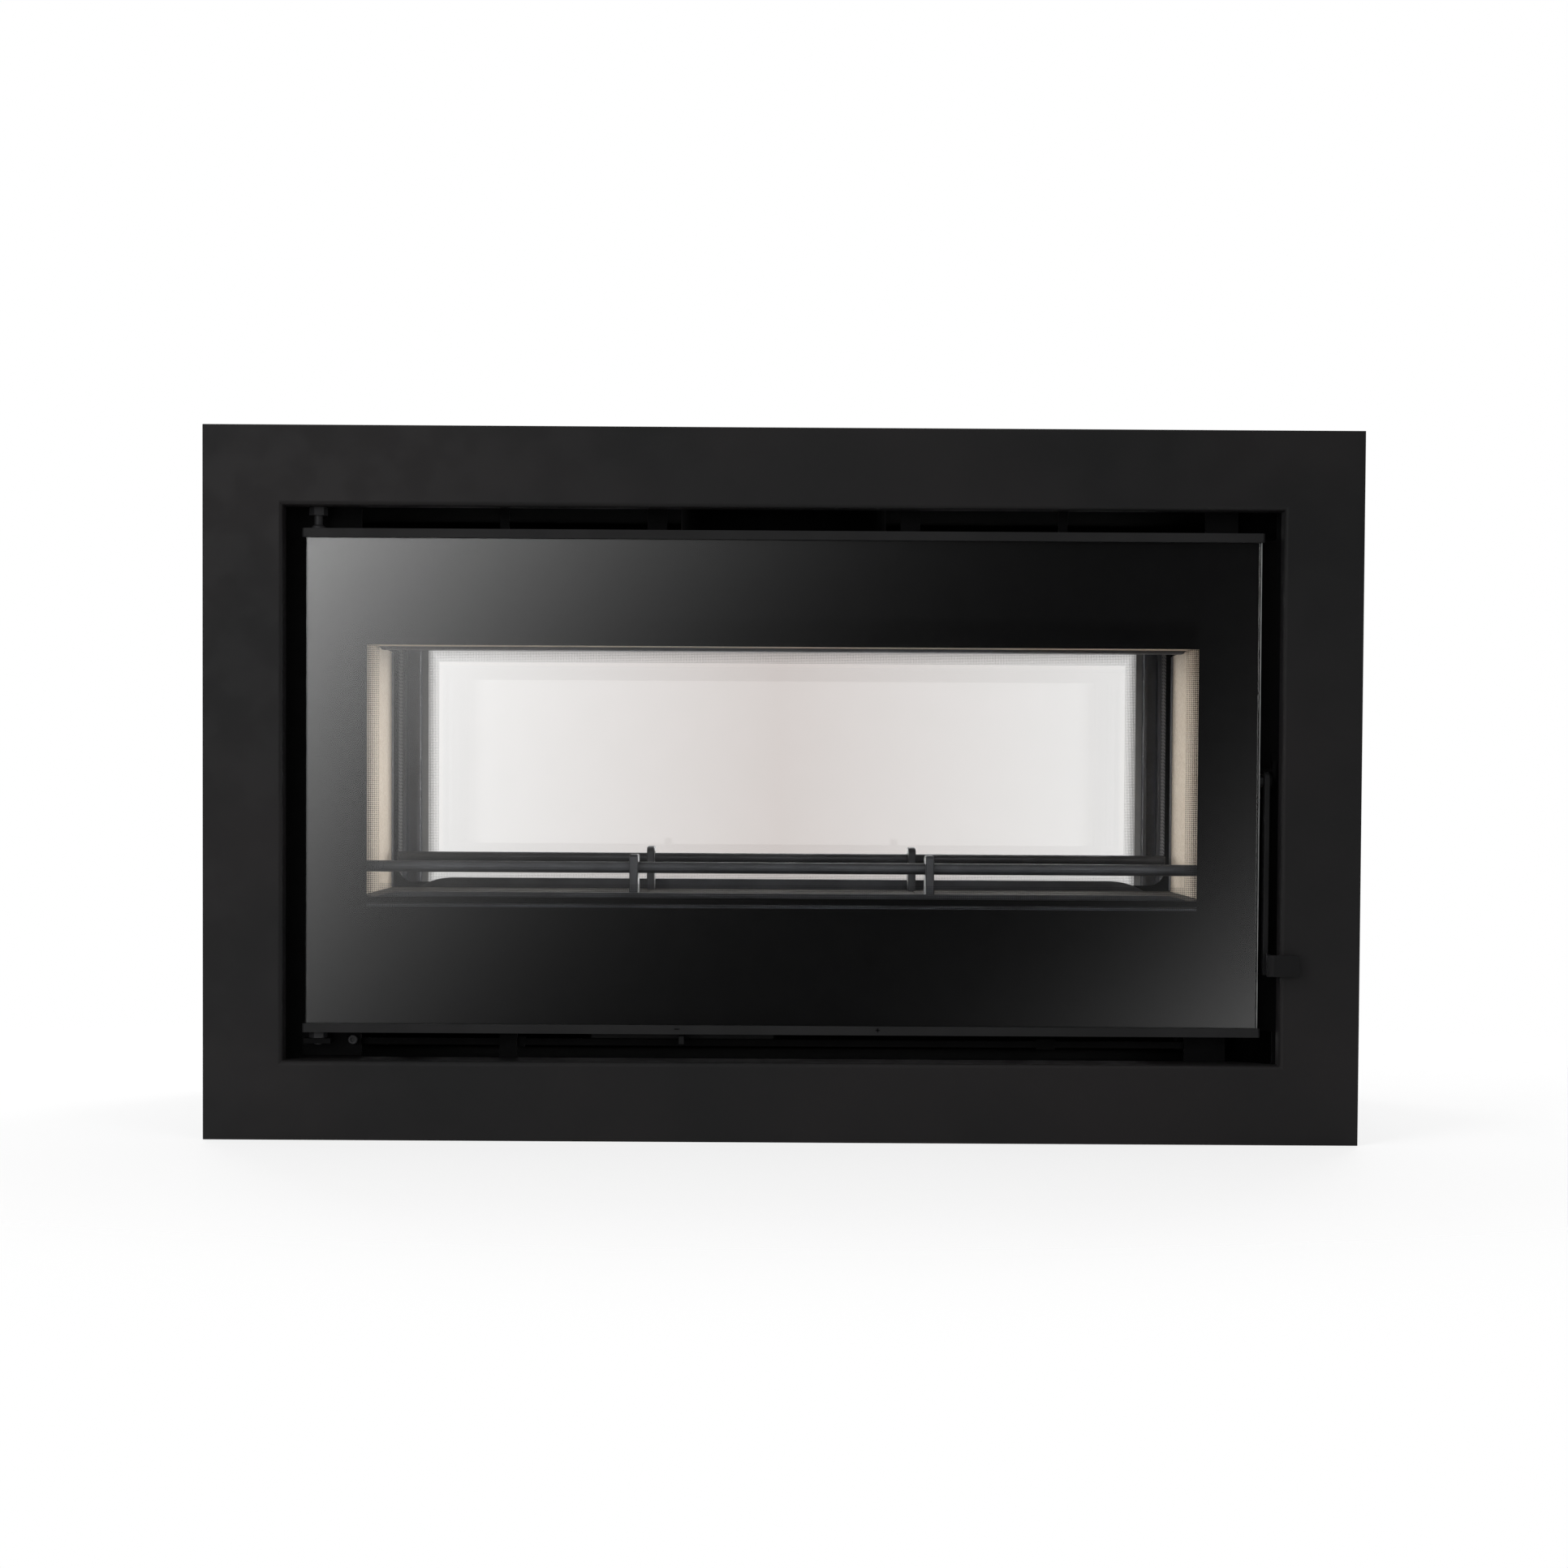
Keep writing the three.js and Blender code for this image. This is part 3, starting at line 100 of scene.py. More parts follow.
class SteelFinishes(bpy.types.PropertyGroup):
    """Colours of the painted and bare steel."""

    frame_black: colour("Frame paint", "Picture frame, first tone of the paint", (0.0062, 0.0062, 0.0064))
    frame_warm: colour("Frame paint, warm", "Picture frame, second tone of the paint", (0.0088, 0.0080, 0.0082))
    rail_black: colour("Rail paint", "Rails above and below the glass", (0.0082, 0.0082, 0.0084))
    # Partly painted shade: this black is darker than the real paint, so the face plates deep in the gaps round the
    # doors look as dark as their shade.
    body_black_and_gap_shade: colour("Body paint", "Face plates, brackets and deflectors", (0.0016, 0.0016, 0.0017))
    lever_black: colour("Lever paint", "Door levers and air slide", (0.0042, 0.0042, 0.0044))
    screw_black: colour("Screw steel", "Blackened screws, nuts and pins", (0.020, 0.020, 0.021))
    casing: colour("Casing sheet", "Galvanised outer casing", (0.36, 0.372, 0.385))
    # Painted shade: the inside of the casing gets this near-black colour, so it looks as dark as the shade seen
    # through the slots.
    casing_inside_painted_shade: colour("Casing, inside", "Black coat on the inside of the casing", (0.0022, 0.0022, 0.0023))
    fire_dark: colour("Fire steel, dark", "Door frames and baffle edges, darker tone", (0.060, 0.061, 0.064))
    fire_blue: colour("Fire steel, blued", "Door frames and baffle edges, heat-tinted tone", (0.088, 0.094, 0.112))
    strip_grey: colour("Strip steel", "Strips that hold the side liners", (0.22, 0.22, 0.23))
    guard_grey: colour("Guard iron", "Log guards", (0.028, 0.029, 0.032))


class FireboxFinishes(bpy.types.PropertyGroup):
    """Colours of the lining and the seals."""

    board_light: colour("Board, light flakes", "Vermiculite side liners and baffle", (0.88, 0.78, 0.66))
    board_dark: colour("Board, dark flakes", "Vermiculite side liners and baffle", (0.76, 0.65, 0.53))
    brick_light: colour("Brick, light grain", "Hearth bricks", (0.105, 0.098, 0.092))
    brick_dark: colour("Brick, dark grain", "Hearth bricks", (0.045, 0.042, 0.040))
    rope_light: colour("Rope, strands", "Glass-fibre seals", (0.34, 0.34, 0.35))
    # Painted shade: the darker colour in the grooves between the strands.
    rope_groove_shade: colour("Rope, between strands", "Glass-fibre seals", (0.08, 0.08, 0.085))
    flake: length("Flake size", "Size of the flakes in the vermiculite board", 0.0022)


class GlassSettings(bpy.types.PropertyGroup):
    """The panes and their printed borders, in the door's own place."""

    tint: colour("Glass tint", "Body colour of the ceramic glass", (0.965, 0.970, 0.965))
    border_black: colour("Border print", "Black enamel printed behind the glass", (0.0032, 0.0032, 0.0033))
    border_back: colour("Border print, fire side", "Back of the enamel, greyed by ash", (0.34, 0.34, 0.335))
    ground_edge: colour("Ground edge", "Frosted edge of the panes", (0.150, 0.153, 0.152))
    clear_half: length("Clear half width", "From the middle to the first dots at the sides", 0.32675)
    clear_bottom: length("Clear bottom", "Height of the first dots at the bottom", 0.2077)
    clear_top: length("Clear top", "Height of the first dots at the top", 0.4045)
    side_fade: length("Side fade", "Width of the dot screen at the sides", 0.01065)
    end_fade: length("End fade", "Height of the dot screen at the top and bottom", 0.0192)
    first_dots: number("First dots", "Size of the smallest dots of the screen", 0.22)
    last_dots: number("Last dots", "Size of the largest dots of the screen", 0.68)
    dot_pitch: length("Dot pitch", "Distance between two dots of the screen", 0.0011)
    print_thickness: length("Print thickness", "Thickness of the enamel", 0.00014)
    edge_width: length("Edge width", "Width of the frosted edge of the panes", 0.0006)


class TrimSettings(bpy.types.PropertyGroup):
    """Small pieces that are only dressed on."""

    strip_width: length("Strip width", "Steel strips that hold the side liners", 0.007)
    strip_thickness: length("Strip thickness", "Steel strips that hold the side liners", 0.0012)
    minus_length: length("Minus length", "Minus mark on the lower rail", 0.0042)
    plus_length: length("Plus length", "Plus mark on the lower rail", 0.0036)
    mark_width: length("Mark width", "Minus and plus marks on the lower rail", 0.0011)
    mark_level: length("Mark height", "Height of the marks", 0.0907)
    minus_x: length("Minus mark", "Across from the middle", -0.0845)
    plus_x: length("Plus mark", "Across from the middle", 0.0785)
    screw_head: length("Screw head", "Diameter of the casing screws", 0.0080)
    screw_height: length("Screw head height", "Height of the casing screws", 0.0019)
    screw_inset: length("Screw inset", "From the casing's edges to its screws", 0.018)
    edge_radius: length("Edge radius", "Rounding of the sheet edges and folds", 0.0006)


class StageSettings(bpy.types.PropertyGroup):
    """Floor, lamps, reflected card and camera."""

    floor_colour: colour("Floor", "Colour of the studio floor", (0.86, 0.86, 0.86))
    floor_white: number("Floor whiteness", "How far the camera sees the floor as plain white", 0.72)
    sky: number("Sky light", "Strength of the even light from all round", 0.52, 0.0, 3.0)
    key_power: number("Key lamp", "Power of the lamp at the upper left, in watts", 34.0, 0.0, 500.0)
    low_power: number("Low lamps", "Power of each of the two low lamps in front, in watts", 22.0, 0.0, 500.0)
    back_power: number("Back lamp", "Power of the lamp above and behind, in watts", 30.0, 0.0, 500.0)
    window_power: number("Window lamps", "Power of each of the two lamps behind, in watts", 84.0, 0.0, 500.0)
    haze_colour: colour("Haze", "Tone of the background through the window, at its middle", (0.74, 0.68, 0.66))
    haze_half: length("Haze half width", "Half the width of the haze behind the window", 0.95)
    card_distance: length("Card distance", "How far in front the reflected card stands", 3.6)
    card_floor: number("Card darkness", "Root of the darkest reflection in the glass", 0.035)
    card_left: number("Card rise, left", "How fast the reflection brightens to the upper left", 0.238)
    card_right: number("Card rise, right", "How fast the reflection brightens to the lower right", 0.350)
    lens: FloatProperty(name="Lens", description="Focal length on a 36 mm sensor", default=62.44, unit="CAMERA")


SETTINGS = (
    ("insert_steel", SteelFinishes),
    ("insert_firebox", FireboxFinishes),
    ("insert_glass", GlassSettings),
    ("insert_trim", TrimSettings),
    ("insert_stage", StageSettings),
)


# ---------------------------------------------------------------- node helpers


def feed(tree, source, socket):
    """Links a socket, or sets its value."""
    if isinstance(source, bpy.types.NodeSocket):
        tree.links.new(source, socket)
    elif socket.type == "RGBA" and len(source) == 3:
        socket.default_value = (*source, 1.0)
    else:
        socket.default_value = source


def calc(tree, operation, *values, clamp=False):
    """A Math node; returns its output."""
    node = tree.nodes.new("ShaderNodeMath")
    node.operation = operation
    node.use_clamp = clamp
    for value, socket in zip(values, node.inputs):
        feed(tree, value, socket)
    return node.outputs[0]


def ramp(tree, value, low, high, to_low=0.0, to_high=1.0):
    """A smooth step from low to high."""
    node = tree.nodes.new("ShaderNodeMapRange")
    node.interpolation_type = "SMOOTHSTEP"
    for source, socket in zip((value, low, high, to_low, to_high), node.inputs):
        feed(tree, source, socket)
    return node.outputs[0]


def blend_colour(tree, factor, first, second):
    """A colour between two others."""
    node = tree.nodes.new("ShaderNodeMix")
    node.data_type = "RGBA"
    feed(tree, factor, node.inputs[0])
    feed(tree, first, node.inputs[6])
    feed(tree, second, node.inputs[7])
    return node.outputs[2]


def noise(tree, position, scale, detail=2.0, roughness=0.5):
    """A noise value from 0 to 1."""
    node = tree.nodes.new("ShaderNodeTexNoise")
    feed(tree, position, node.inputs["Vector"])
    feed(tree, scale, node.inputs["Scale"])
    node.inputs["Detail"].default_value = detail
    node.inputs["Roughness"].default_value = roughness
    return node.outputs[0]


def stretched(tree, position, scale):
    """The position with its axes scaled apart."""
    node = tree.nodes.new("ShaderNodeMapping")
    feed(tree, position, node.inputs["Vector"])
    node.inputs["Scale"].default_value = scale
    return node.outputs[0]


def split_up(tree, vector):
    """The X, Y and Z outputs of a vector."""
    node = tree.nodes.new("ShaderNodeSeparateXYZ")
    feed(tree, vector, node.inputs[0])
    return node.outputs


def crystals(tree, position, scale):
    """Cells of one tone each; returns their tone and the distance from their middles."""
    cells = tree.nodes.new("ShaderNodeTexVoronoi")
    feed(tree, position, cells.inputs["Vector"])
    feed(tree, scale, cells.inputs["Scale"])
    grey = tree.nodes.new("ShaderNodeSeparateColor")
    feed(tree, cells.outputs["Color"], grey.inputs[0])
    return grey.outputs[0], cells.outputs["Distance"]


def crossed_waves(tree, operation, first, second, turn):
    """Two waves that run aslant to each other, one along the sum and one along the difference."""
    ways = [calc(tree, way, first, second) for way in ("ADD", "SUBTRACT")]
    return [calc(tree, operation, calc(tree, "MULTIPLY", way, turn)) for way in ways]


def mix_shaders(tree, factor, first, second):
    """A shader between two others."""
    node = tree.nodes.new("ShaderNodeMixShader")
    for source, socket in zip((factor, first, second), node.inputs):
        feed(tree, source, socket)
    return node.outputs[0]


def put_out(tree, shader):
    """Makes this shader the surface of its material."""
    feed(tree, shader, tree.nodes["Material Output"].inputs[0])


def new_group(name, inputs, outputs):
    """An empty shader node group with named sockets; returns the tree, its input node and its output node."""
    tree = bpy.data.node_groups.new(name, "ShaderNodeTree")
    for socket_name, kind, default in inputs:
        socket = tree.interface.new_socket(name=socket_name, in_out="INPUT", socket_type="NodeSocket" + kind)
        if default is not None:
            socket.default_value = default
    for socket_name, kind in outputs:
        tree.interface.new_socket(name=socket_name, in_out="OUTPUT", socket_type="NodeSocket" + kind)
    return tree, tree.nodes.new("NodeGroupInput"), tree.nodes.new("NodeGroupOutput")


# ---------------------------------------------------------------- shared effects


def make_powder_grain(name):
    """Fine grain of a sprayed coat, and slow clouds in its tone."""
    tree, given, put = new_group(
        name,
        (("Position", "Vector", None), ("Grain", "Float", 2400.0), ("Cloud", "Float", 9.0)),
        (("Height", "Float"), ("Tone", "Float"), ("Gloss", "Float")),
    )
    fine = noise(tree, given.outputs["Position"], given.outputs["Grain"], 2.0, 0.6)
    slow = noise(tree, given.outputs["Position"], given.outputs["Cloud"], 3.0, 0.55)
    feed(tree, fine, put.inputs["Height"])
    feed(tree, ramp(tree, slow, 0.32, 0.68), put.inputs["Tone"])
    middling = noise(tree, given.outputs["Position"], calc(tree, "MULTIPLY", given.outputs["Cloud"], 6.0), 2.0)
    feed(tree, ramp(tree, middling, 0.3, 0.7), put.inputs["Gloss"])
    return tree


def make_settled_dust(name):
    """Pale dust that lies on what faces up."""
    tree, given, put = new_group(
        name,
        (("Position", "Vector", None), ("Facing", "Vector", None), ("Amount", "Float", 0.3)),
        (("Mask", "Float"),),
    )
    up = ramp(tree, split_up(tree, given.outputs["Facing"])["Z"], 0.45, 0.95)
    patch = ramp(tree, noise(tree, given.outputs["Position"], 70.0, 4.0, 0.6), 0.35, 0.75, 0.35, 1.0)
    lying = calc(tree, "MULTIPLY", up, patch)
    feed(tree, calc(tree, "MULTIPLY", lying, given.outputs["Amount"], clamp=True), put.inputs["Mask"])
    return tree


def make_rolled_sheet(name):
    """Crystals of a zinc coat with the faint drawn lines of rolling."""
    tree, given, put = new_group(
        name,
        (("Position", "Vector", None), ("Crystal", "Float", 90.0), ("Lines", "Float", 900.0)),
        (("Tone", "Float"), ("Height", "Float")),
    )
    grey, distance = crystals(tree, given.outputs["Position"], given.outputs["Crystal"])
    drawn = noise(tree, stretched(tree, given.outputs["Position"], (1.0, 1.0, 0.03)), given.outputs["Lines"], 2.0)
    feed(tree, calc(tree, "MULTIPLY_ADD", drawn, 0.35, calc(tree, "MULTIPLY", grey, 0.65)), put.inputs["Tone"])
    feed(tree, calc(tree, "MULTIPLY_ADD", drawn, 0.6, distance), put.inputs["Height"])
    return tree


def make_heat_tint(name):
    """Bands and clouds that heat leaves on bare steel, with mill scale."""
    tree, given, put = new_group(
        name,
        (("Position", "Vector", None), ("Cloud", "Float", 7.0), ("Scale", "Float", 420.0)),
        (("Tone", "Float"), ("Height", "Float")),
    )
    slow = noise(tree, given.outputs["Position"], given.outputs["Cloud"], 4.0, 0.6)
    scale = noise(tree, given.outputs["Position"], given.outputs["Scale"], 5.0, 0.65)
    feed(tree, ramp(tree, calc(tree, "MULTIPLY_ADD", scale, 0.25, slow), 0.42, 0.8), put.inputs["Tone"])
    feed(tree, scale, put.inputs["Height"])
    return tree


def make_mineral_flakes(name):
    """Pressed flakes or grains: their tone, and a mask for the pits between them that carries painted shade."""
    tree, given, put = new_group(
        name,
        (("Position", "Vector", None), ("Flakes", "Float", 450.0), ("Spread", "Float", 0.5)),
        (("Tone", "Float"), ("Height", "Float"), ("Pit_shade", "Float")),
    )
    grey, distance = crystals(tree, given.outputs["Position"], given.outputs["Flakes"])
    slow = noise(tree, given.outputs["Position"], 22.0, 4.0, 0.6)
    fine = noise(tree, given.outputs["Position"], calc(tree, "MULTIPLY", given.outputs["Flakes"], 2.6), 3.0)
    mixed = calc(tree, "MULTIPLY_ADD", grey, given.outputs["Spread"], calc(tree, "MULTIPLY", slow, 0.5))
    feed(tree, ramp(tree, mixed, 0.1, 0.95), put.inputs["Tone"])
    feed(tree, calc(tree, "MULTIPLY_ADD", fine, 0.5, distance), put.inputs["Height"])
    feed(tree, ramp(tree, fine, 0.63, 0.72), put.inputs["Pit_shade"])
    return tree


def make_rope_twist(name):
    """Strands laid aslant round a rope, and a mask that is low in the grooves between them, which carries painted
    shade.
    """
    tree, given, put = new_group(
        name, (("Position", "Vector", None), ("Pitch", "Float", 0.0032)), (("Strand", "Float"), ("Height", "Float"))
    )
    across, deep, height = split_up(tree, given.outputs["Position"])
    turn = calc(tree, "DIVIDE", math.tau, given.outputs["Pitch"])
    woven = calc(tree, "MAXIMUM", *crossed_waves(tree, "SINE", calc(tree, "ADD", across, height), deep, turn))
    hairs = noise(tree, given.outputs["Position"], 2600.0, 2.0)
    feed(tree, ramp(tree, woven, -0.3, 0.9), put.inputs["Strand"])
    feed(tree, calc(tree, "MULTIPLY_ADD", hairs, 0.4, woven), put.inputs["Height"])
    return tree


def make_dot_screen(name):
    """How much of the pane the border print covers: all of it outside the window, and ever smaller dots inside."""
    tree, given, put = new_group(
        name,
        (
            ("Position", "Vector", None),
            ("Half width", "Float", 0.327),
            ("Bottom", "Float", 0.206),
            ("Top", "Float", 0.42),
            ("Side fade", "Float", 0.009),
            ("End fade", "Float", 0.008),
            ("First dots", "Float", 0.22),
            ("Last dots", "Float", 0.68),
            ("Pitch", "Float", 0.0011),
        ),
        (("Print", "Float"),),
    )
    across, _, height = split_up(tree, given.outputs["Position"])
    out = given.outputs

    def part(distance, fade):
        return calc(tree, "DIVIDE", distance, fade, clamp=True)

    side = part(calc(tree, "SUBTRACT", calc(tree, "ABSOLUTE", across), out["Half width"]), out["Side fade"])
    below = part(calc(tree, "SUBTRACT", out["Bottom"], height), out["End fade"])
    above = part(calc(tree, "SUBTRACT", height, out["Top"]), out["End fade"])
    cover = calc(tree, "MAXIMUM", side, calc(tree, "MAXIMUM", below, above))
    turn = calc(tree, "DIVIDE", math.pi, out["Pitch"])
    waves = crossed_waves(tree, "COSINE", across, height, turn)
    dots = calc(tree, "MULTIPLY_ADD", calc(tree, "MULTIPLY", *waves), 0.5, 0.5)
    growth = calc(tree, "MULTIPLY", cover, calc(tree, "SUBTRACT", out["Last dots"], out["First dots"]))
    level = calc(tree, "ADD", growth, out["First dots"])
    dotted = ramp(tree, calc(tree, "SUBTRACT", level, dots), -0.03, 0.03)
    begun = calc(tree, "MULTIPLY", dotted, calc(tree, "GREATER_THAN", cover, 0.0))
    feed(tree, calc(tree, "MAXIMUM", begun, calc(tree, "GREATER_THAN", cover, 0.999)), put.inputs["Print"])
    return tree


# ---------------------------------------------------------------- materials


def new_material(name):
    """A material with a Principled BSDF; returns it, its tree, the shader and the object position."""
    material = bpy.data.materials.new(name)
    material.use_nodes = True
    tree = material.node_tree
    shader = tree.nodes["Principled BSDF"]
    return material, tree, shader, tree.nodes.new("ShaderNodeTexCoord")


def use_group(tree, name, maker, **values):
    """Places a shared effect and sets its inputs; underscores in the names stand for spaces."""
    node = tree.nodes.new("ShaderNodeGroup")
    node.node_tree = bpy.data.node_groups.get(name) or maker(name)
    for key, value in values.items():
        feed(tree, value, node.inputs[key.replace("_", " ")])
    return node


def bump(tree, shader, height, distance):
    """Raises the surface by a height map, in metres."""
    node = tree.nodes.new("ShaderNodeBump")
    node.inputs["Strength"].default_value = 1.0
    node.inputs["Distance"].default_value = distance
    feed(tree, height, node.inputs["Height"])
    feed(tree, node.outputs[0], shader.inputs["Normal"])


def plain(shader, **values):
    """Sets even values on the shader's own sockets."""
    for key, value in values.items():
        shader.inputs[key.replace("_", " ")].default_value = value


def shaded(value, amount):
    """A colour with all its parts scaled."""
    return tuple(part * amount for part in value)


def painted(name, first, second, roughness, specular, grain, cloud, depth, dust=0.0):
    """Sprayed heat-proof paint on sheet steel."""
    material, tree, shader, place = new_material(name)
    coat = use_group(tree, "powder_grain", make_powder_grain, Position=place.outputs["Object"], Grain=grain, Cloud=cloud)
    tone = blend_colour(tree, coat.outputs["Tone"], first, second)
    if dust > 0.0:
        spots = {"Position": place.outputs["Object"], "Facing": place.outputs["Normal"], "Amount": dust}
        layer = use_group(tree, "settled_dust", make_settled_dust, **spots)
        tone = blend_colour(tree, layer.outputs["Mask"], tone, (0.16, 0.15, 0.14))
    feed(tree, tone, shader.inputs["Base Color"])
    gloss = ramp(tree, coat.outputs["Gloss"], 0.0, 1.0, roughness - 0.04, roughness + 0.05)
    feed(tree, gloss, shader.inputs["Roughness"])
    plain(shader, Specular_IOR_Level=specular)
    bump(tree, shader, coat.outputs["Height"], depth)
    return material


def make_frame_paint(scene):
    """Matte black coat of the picture frames."""
    steel = scene.insert_steel
    return painted("frame_paint", steel.frame_black, steel.frame_warm, 0.46, 0.13, 2000.0, 5.0, 0.03 * MM)


def make_rail_paint(scene):
    """Satin black of the door rails."""
    black = scene.insert_steel.rail_black
    return painted("rail_paint", black, shaded(black, 1.3), 0.5, 0.1, 2600.0, 12.0, 0.02 * MM)


def make_body_paint(scene):
    """Dull heat-proof paint inside the frame, darker than the paint itself: partly painted shade for the deep gaps
    round the doors.
    """
    black = scene.insert_steel.body_black_and_gap_shade
    return painted("body_paint", black, shaded(black, 1.5), 0.66, 0.05, 1600.0, 10.0, 0.05 * MM, 0.02)


def make_lever_paint(scene):
    """Satin black of the levers."""
    black = scene.insert_steel.lever_black
    return painted("lever_black", black, shaded(black, 1.4), 0.46, 0.1, 2600.0, 20.0, 0.02 * MM)


def make_guard_iron(scene):
    """Dark drawn steel of the log guards."""
    grey = scene.insert_steel.guard_grey
    material = painted("guard_iron", grey, shaded(grey, 1.5), 0.44, 0.35, 1800.0, 26.0, 0.04 * MM, 0.04)
    plain(material.node_tree.nodes["Principled BSDF"], Metallic=0.35)
    return material


def make_casing_steel(scene):
    """Galvanised sheet, black on the inside: that black is painted shade, which keeps the casing seen through the
    slots dark.
    """
    steel = scene.insert_steel
    base = steel.casing
    material, tree, shader, place = new_material("casing_steel")
    sheet = use_group(tree, "rolled_sheet", make_rolled_sheet, Position=place.outputs["Object"], Crystal=85.0)
    zinc = blend_colour(tree, sheet.outputs["Tone"], shaded(base, 0.82), shaded(base, 1.22))
    low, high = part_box("casing")
    where, facing = split_up(tree, place.outputs["Object"]), split_up(tree, place.outputs["Normal"])
    height = calc(tree, "SUBTRACT", where["Z"], (low.z + high.z) / 2.0)
    sideways = calc(tree, "MULTIPLY", where["X"], facing["X"])
    outward = calc(tree, "MULTIPLY_ADD", height, facing["Z"], sideways)
    outside = calc(tree, "GREATER_THAN", outward, 0.01)
    # Faces turned inwards take the painted-shade black in place of the zinc.
    feed(tree, blend_colour(tree, outside, steel.casing_inside_painted_shade, zinc), shader.inputs["Base Color"])
    sheen = ramp(tree, sheet.outputs["Tone"], 0.0, 1.0, 0.34, 0.48)
    feed(tree, calc(tree, "MAXIMUM", sheen, calc(tree, "SUBTRACT", 1.0, outside)), shader.inputs["Roughness"])
    feed(tree, calc(tree, "MULTIPLY", outside, 0.9), shader.inputs["Metallic"])
    plain(shader, Specular_IOR_Level=0.03)
    bump(tree, shader, sheet.outputs["Height"], 0.04 * MM)
    return material


def make_ground_edge(scene):
    """Frosted ground glass at the edge of a pane."""
    base = scene.insert_glass.ground_edge
    return painted("ground_edge", shaded(base, 0.8), shaded(base, 1.25), 0.6, 0.3, 3000.0, 60.0, 0.03 * MM)


def heated(name, first, second):
    """Bare steel with the clouds and scale that heat leaves."""
    material, tree, shader, place = new_material(name)
    heat = use_group(tree, "heat_tint", make_heat_tint, Position=place.outputs["Object"])
    feed(tree, blend_colour(tree, heat.outputs["Tone"], first, second), shader.inputs["Base Color"])
    feed(tree, ramp(tree, heat.outputs["Tone"], 0.0, 1.0, 0.52, 0.4), shader.inputs["Roughness"])
    plain(shader, Metallic=0.2, Specular_IOR_Level=0.4)
    bump(tree, shader, heat.outputs["Height"], 0.05 * MM)
    return material


def make_fire_steel(scene):
    """Dark steel, blued by heat."""
    return heated("fire_steel", scene.insert_steel.fire_dark, scene.insert_steel.fire_blue)


def make_strip_steel(scene):
    """Paler steel of the liner strips."""
    grey = scene.insert_steel.strip_grey
    return heated("strip_steel", shaded(grey, 0.8), shaded(grey, 1.2))


def make_screw_steel(scene):
    """Blackened steel of the screws, nuts and pins."""
    base = scene.insert_steel.screw_black
    material, tree, shader, place = new_material("screw_steel")
    coat = use_group(tree, "powder_grain", make_powder_grain, Position=place.outputs["Object"], Grain=1500.0, Cloud=160.0)
    feed(tree, blend_colour(tree, coat.outputs["Tone"], shaded(base, 0.7), base), shader.inputs["Base Color"])
    feed(tree, ramp(tree, coat.outputs["Gloss"], 0.0, 1.0, 0.38, 0.52), shader.inputs["Roughness"])
    plain(shader, Metallic=0.15, Specular_IOR_Level=0.2)
    bump(tree, shader, coat.outputs["Height"], 0.03 * MM)
    return material


def mineral(name, first, second, flakes, spread, depth, roughness):
    """Pressed board or brick."""
    material, tree, shader, place = new_material(name)
    grain = use_group(
        tree, "mineral_flakes", make_mineral_flakes, Position=place.outputs["Object"], Flakes=flakes, Spread=spread
    )
    tone = blend_colour(tree, grain.outputs["Tone"], second, first)
    # Painted shade: the pits between the flakes are drawn darker, towards the dark tone.
    pitted = blend_colour(tree, calc(tree, "MULTIPLY", grain.outputs["Pit_shade"], 0.35), tone, shaded(second, 0.6))
    feed(tree, pitted, shader.inputs["Base Color"])
    feed(tree, ramp(tree, grain.outputs["Tone"], 0.0, 1.0, roughness - 0.05, roughness), shader.inputs["Roughness"])
    plain(shader, Specular_IOR_Level=0.2)
    bump(tree, shader, grain.outputs["Height"], depth)
    return material


def make_vermiculite(scene):
    """Beige pressed board of the side liners and the baffle."""
    lining = scene.insert_firebox
    return mineral("vermiculite", lining.board_light, lining.board_dark, 1.0 / lining.flake, 0.6, 0.15 * MM, 0.95)


def make_sooted_brick(scene):
    """Dark fire brick of the hearth."""
    lining = scene.insert_firebox
    return mineral("sooted_brick", lining.brick_light, lining.brick_dark, 620.0, 0.7, 0.2 * MM, 0.92)


def make_rope_fibre(scene):
    """Grey glass-fibre rope."""
    lining = scene.insert_firebox
    material, tree, shader, place = new_material("rope_fibre")
    twist = use_group(tree, "rope_twist", make_rope_twist, Position=place.outputs["Object"])
    # The grooves between the strands take the painted-shade colour.
    feed(tree, blend_colour(tree, twist.outputs["Strand"], lining.rope_groove_shade, lining.rope_light), shader.inputs["Base Color"])
    plain(shader, Roughness=0.95, Specular_IOR_Level=0.2)
    bump(tree, shader, twist.outputs["Height"], 0.3 * MM)
    return material


def make_glass(scene):
    """Clear ceramic glass that lets lamp light through."""
    material, tree, shader, place = new_material("glass_pane")
    plain(shader, Transmission_Weight=1.0, Metallic=0.0, IOR=1.5, Roughness=0.0)
    haze = noise(tree, place.outputs["Object"], 35.0, 3.0)
    feed(tree, blend_colour(tree, haze, scene.insert_glass.tint, (0.985, 0.985, 0.985)), shader.inputs["Base Color"])
    path = tree.nodes.new("ShaderNodeLightPath")
    clear = tree.nodes.new("ShaderNodeBsdfTransparent")
    clear.inputs[0].default_value = (0.92, 0.92, 0.92, 1.0)
    lamp = calc(tree, "MAXIMUM", path.outputs["Is Shadow Ray"], path.outputs["Is Diffuse Ray"])
    put_out(tree, mix_shaders(tree, lamp, shader.outputs[0], clear.outputs[0]))
    return material


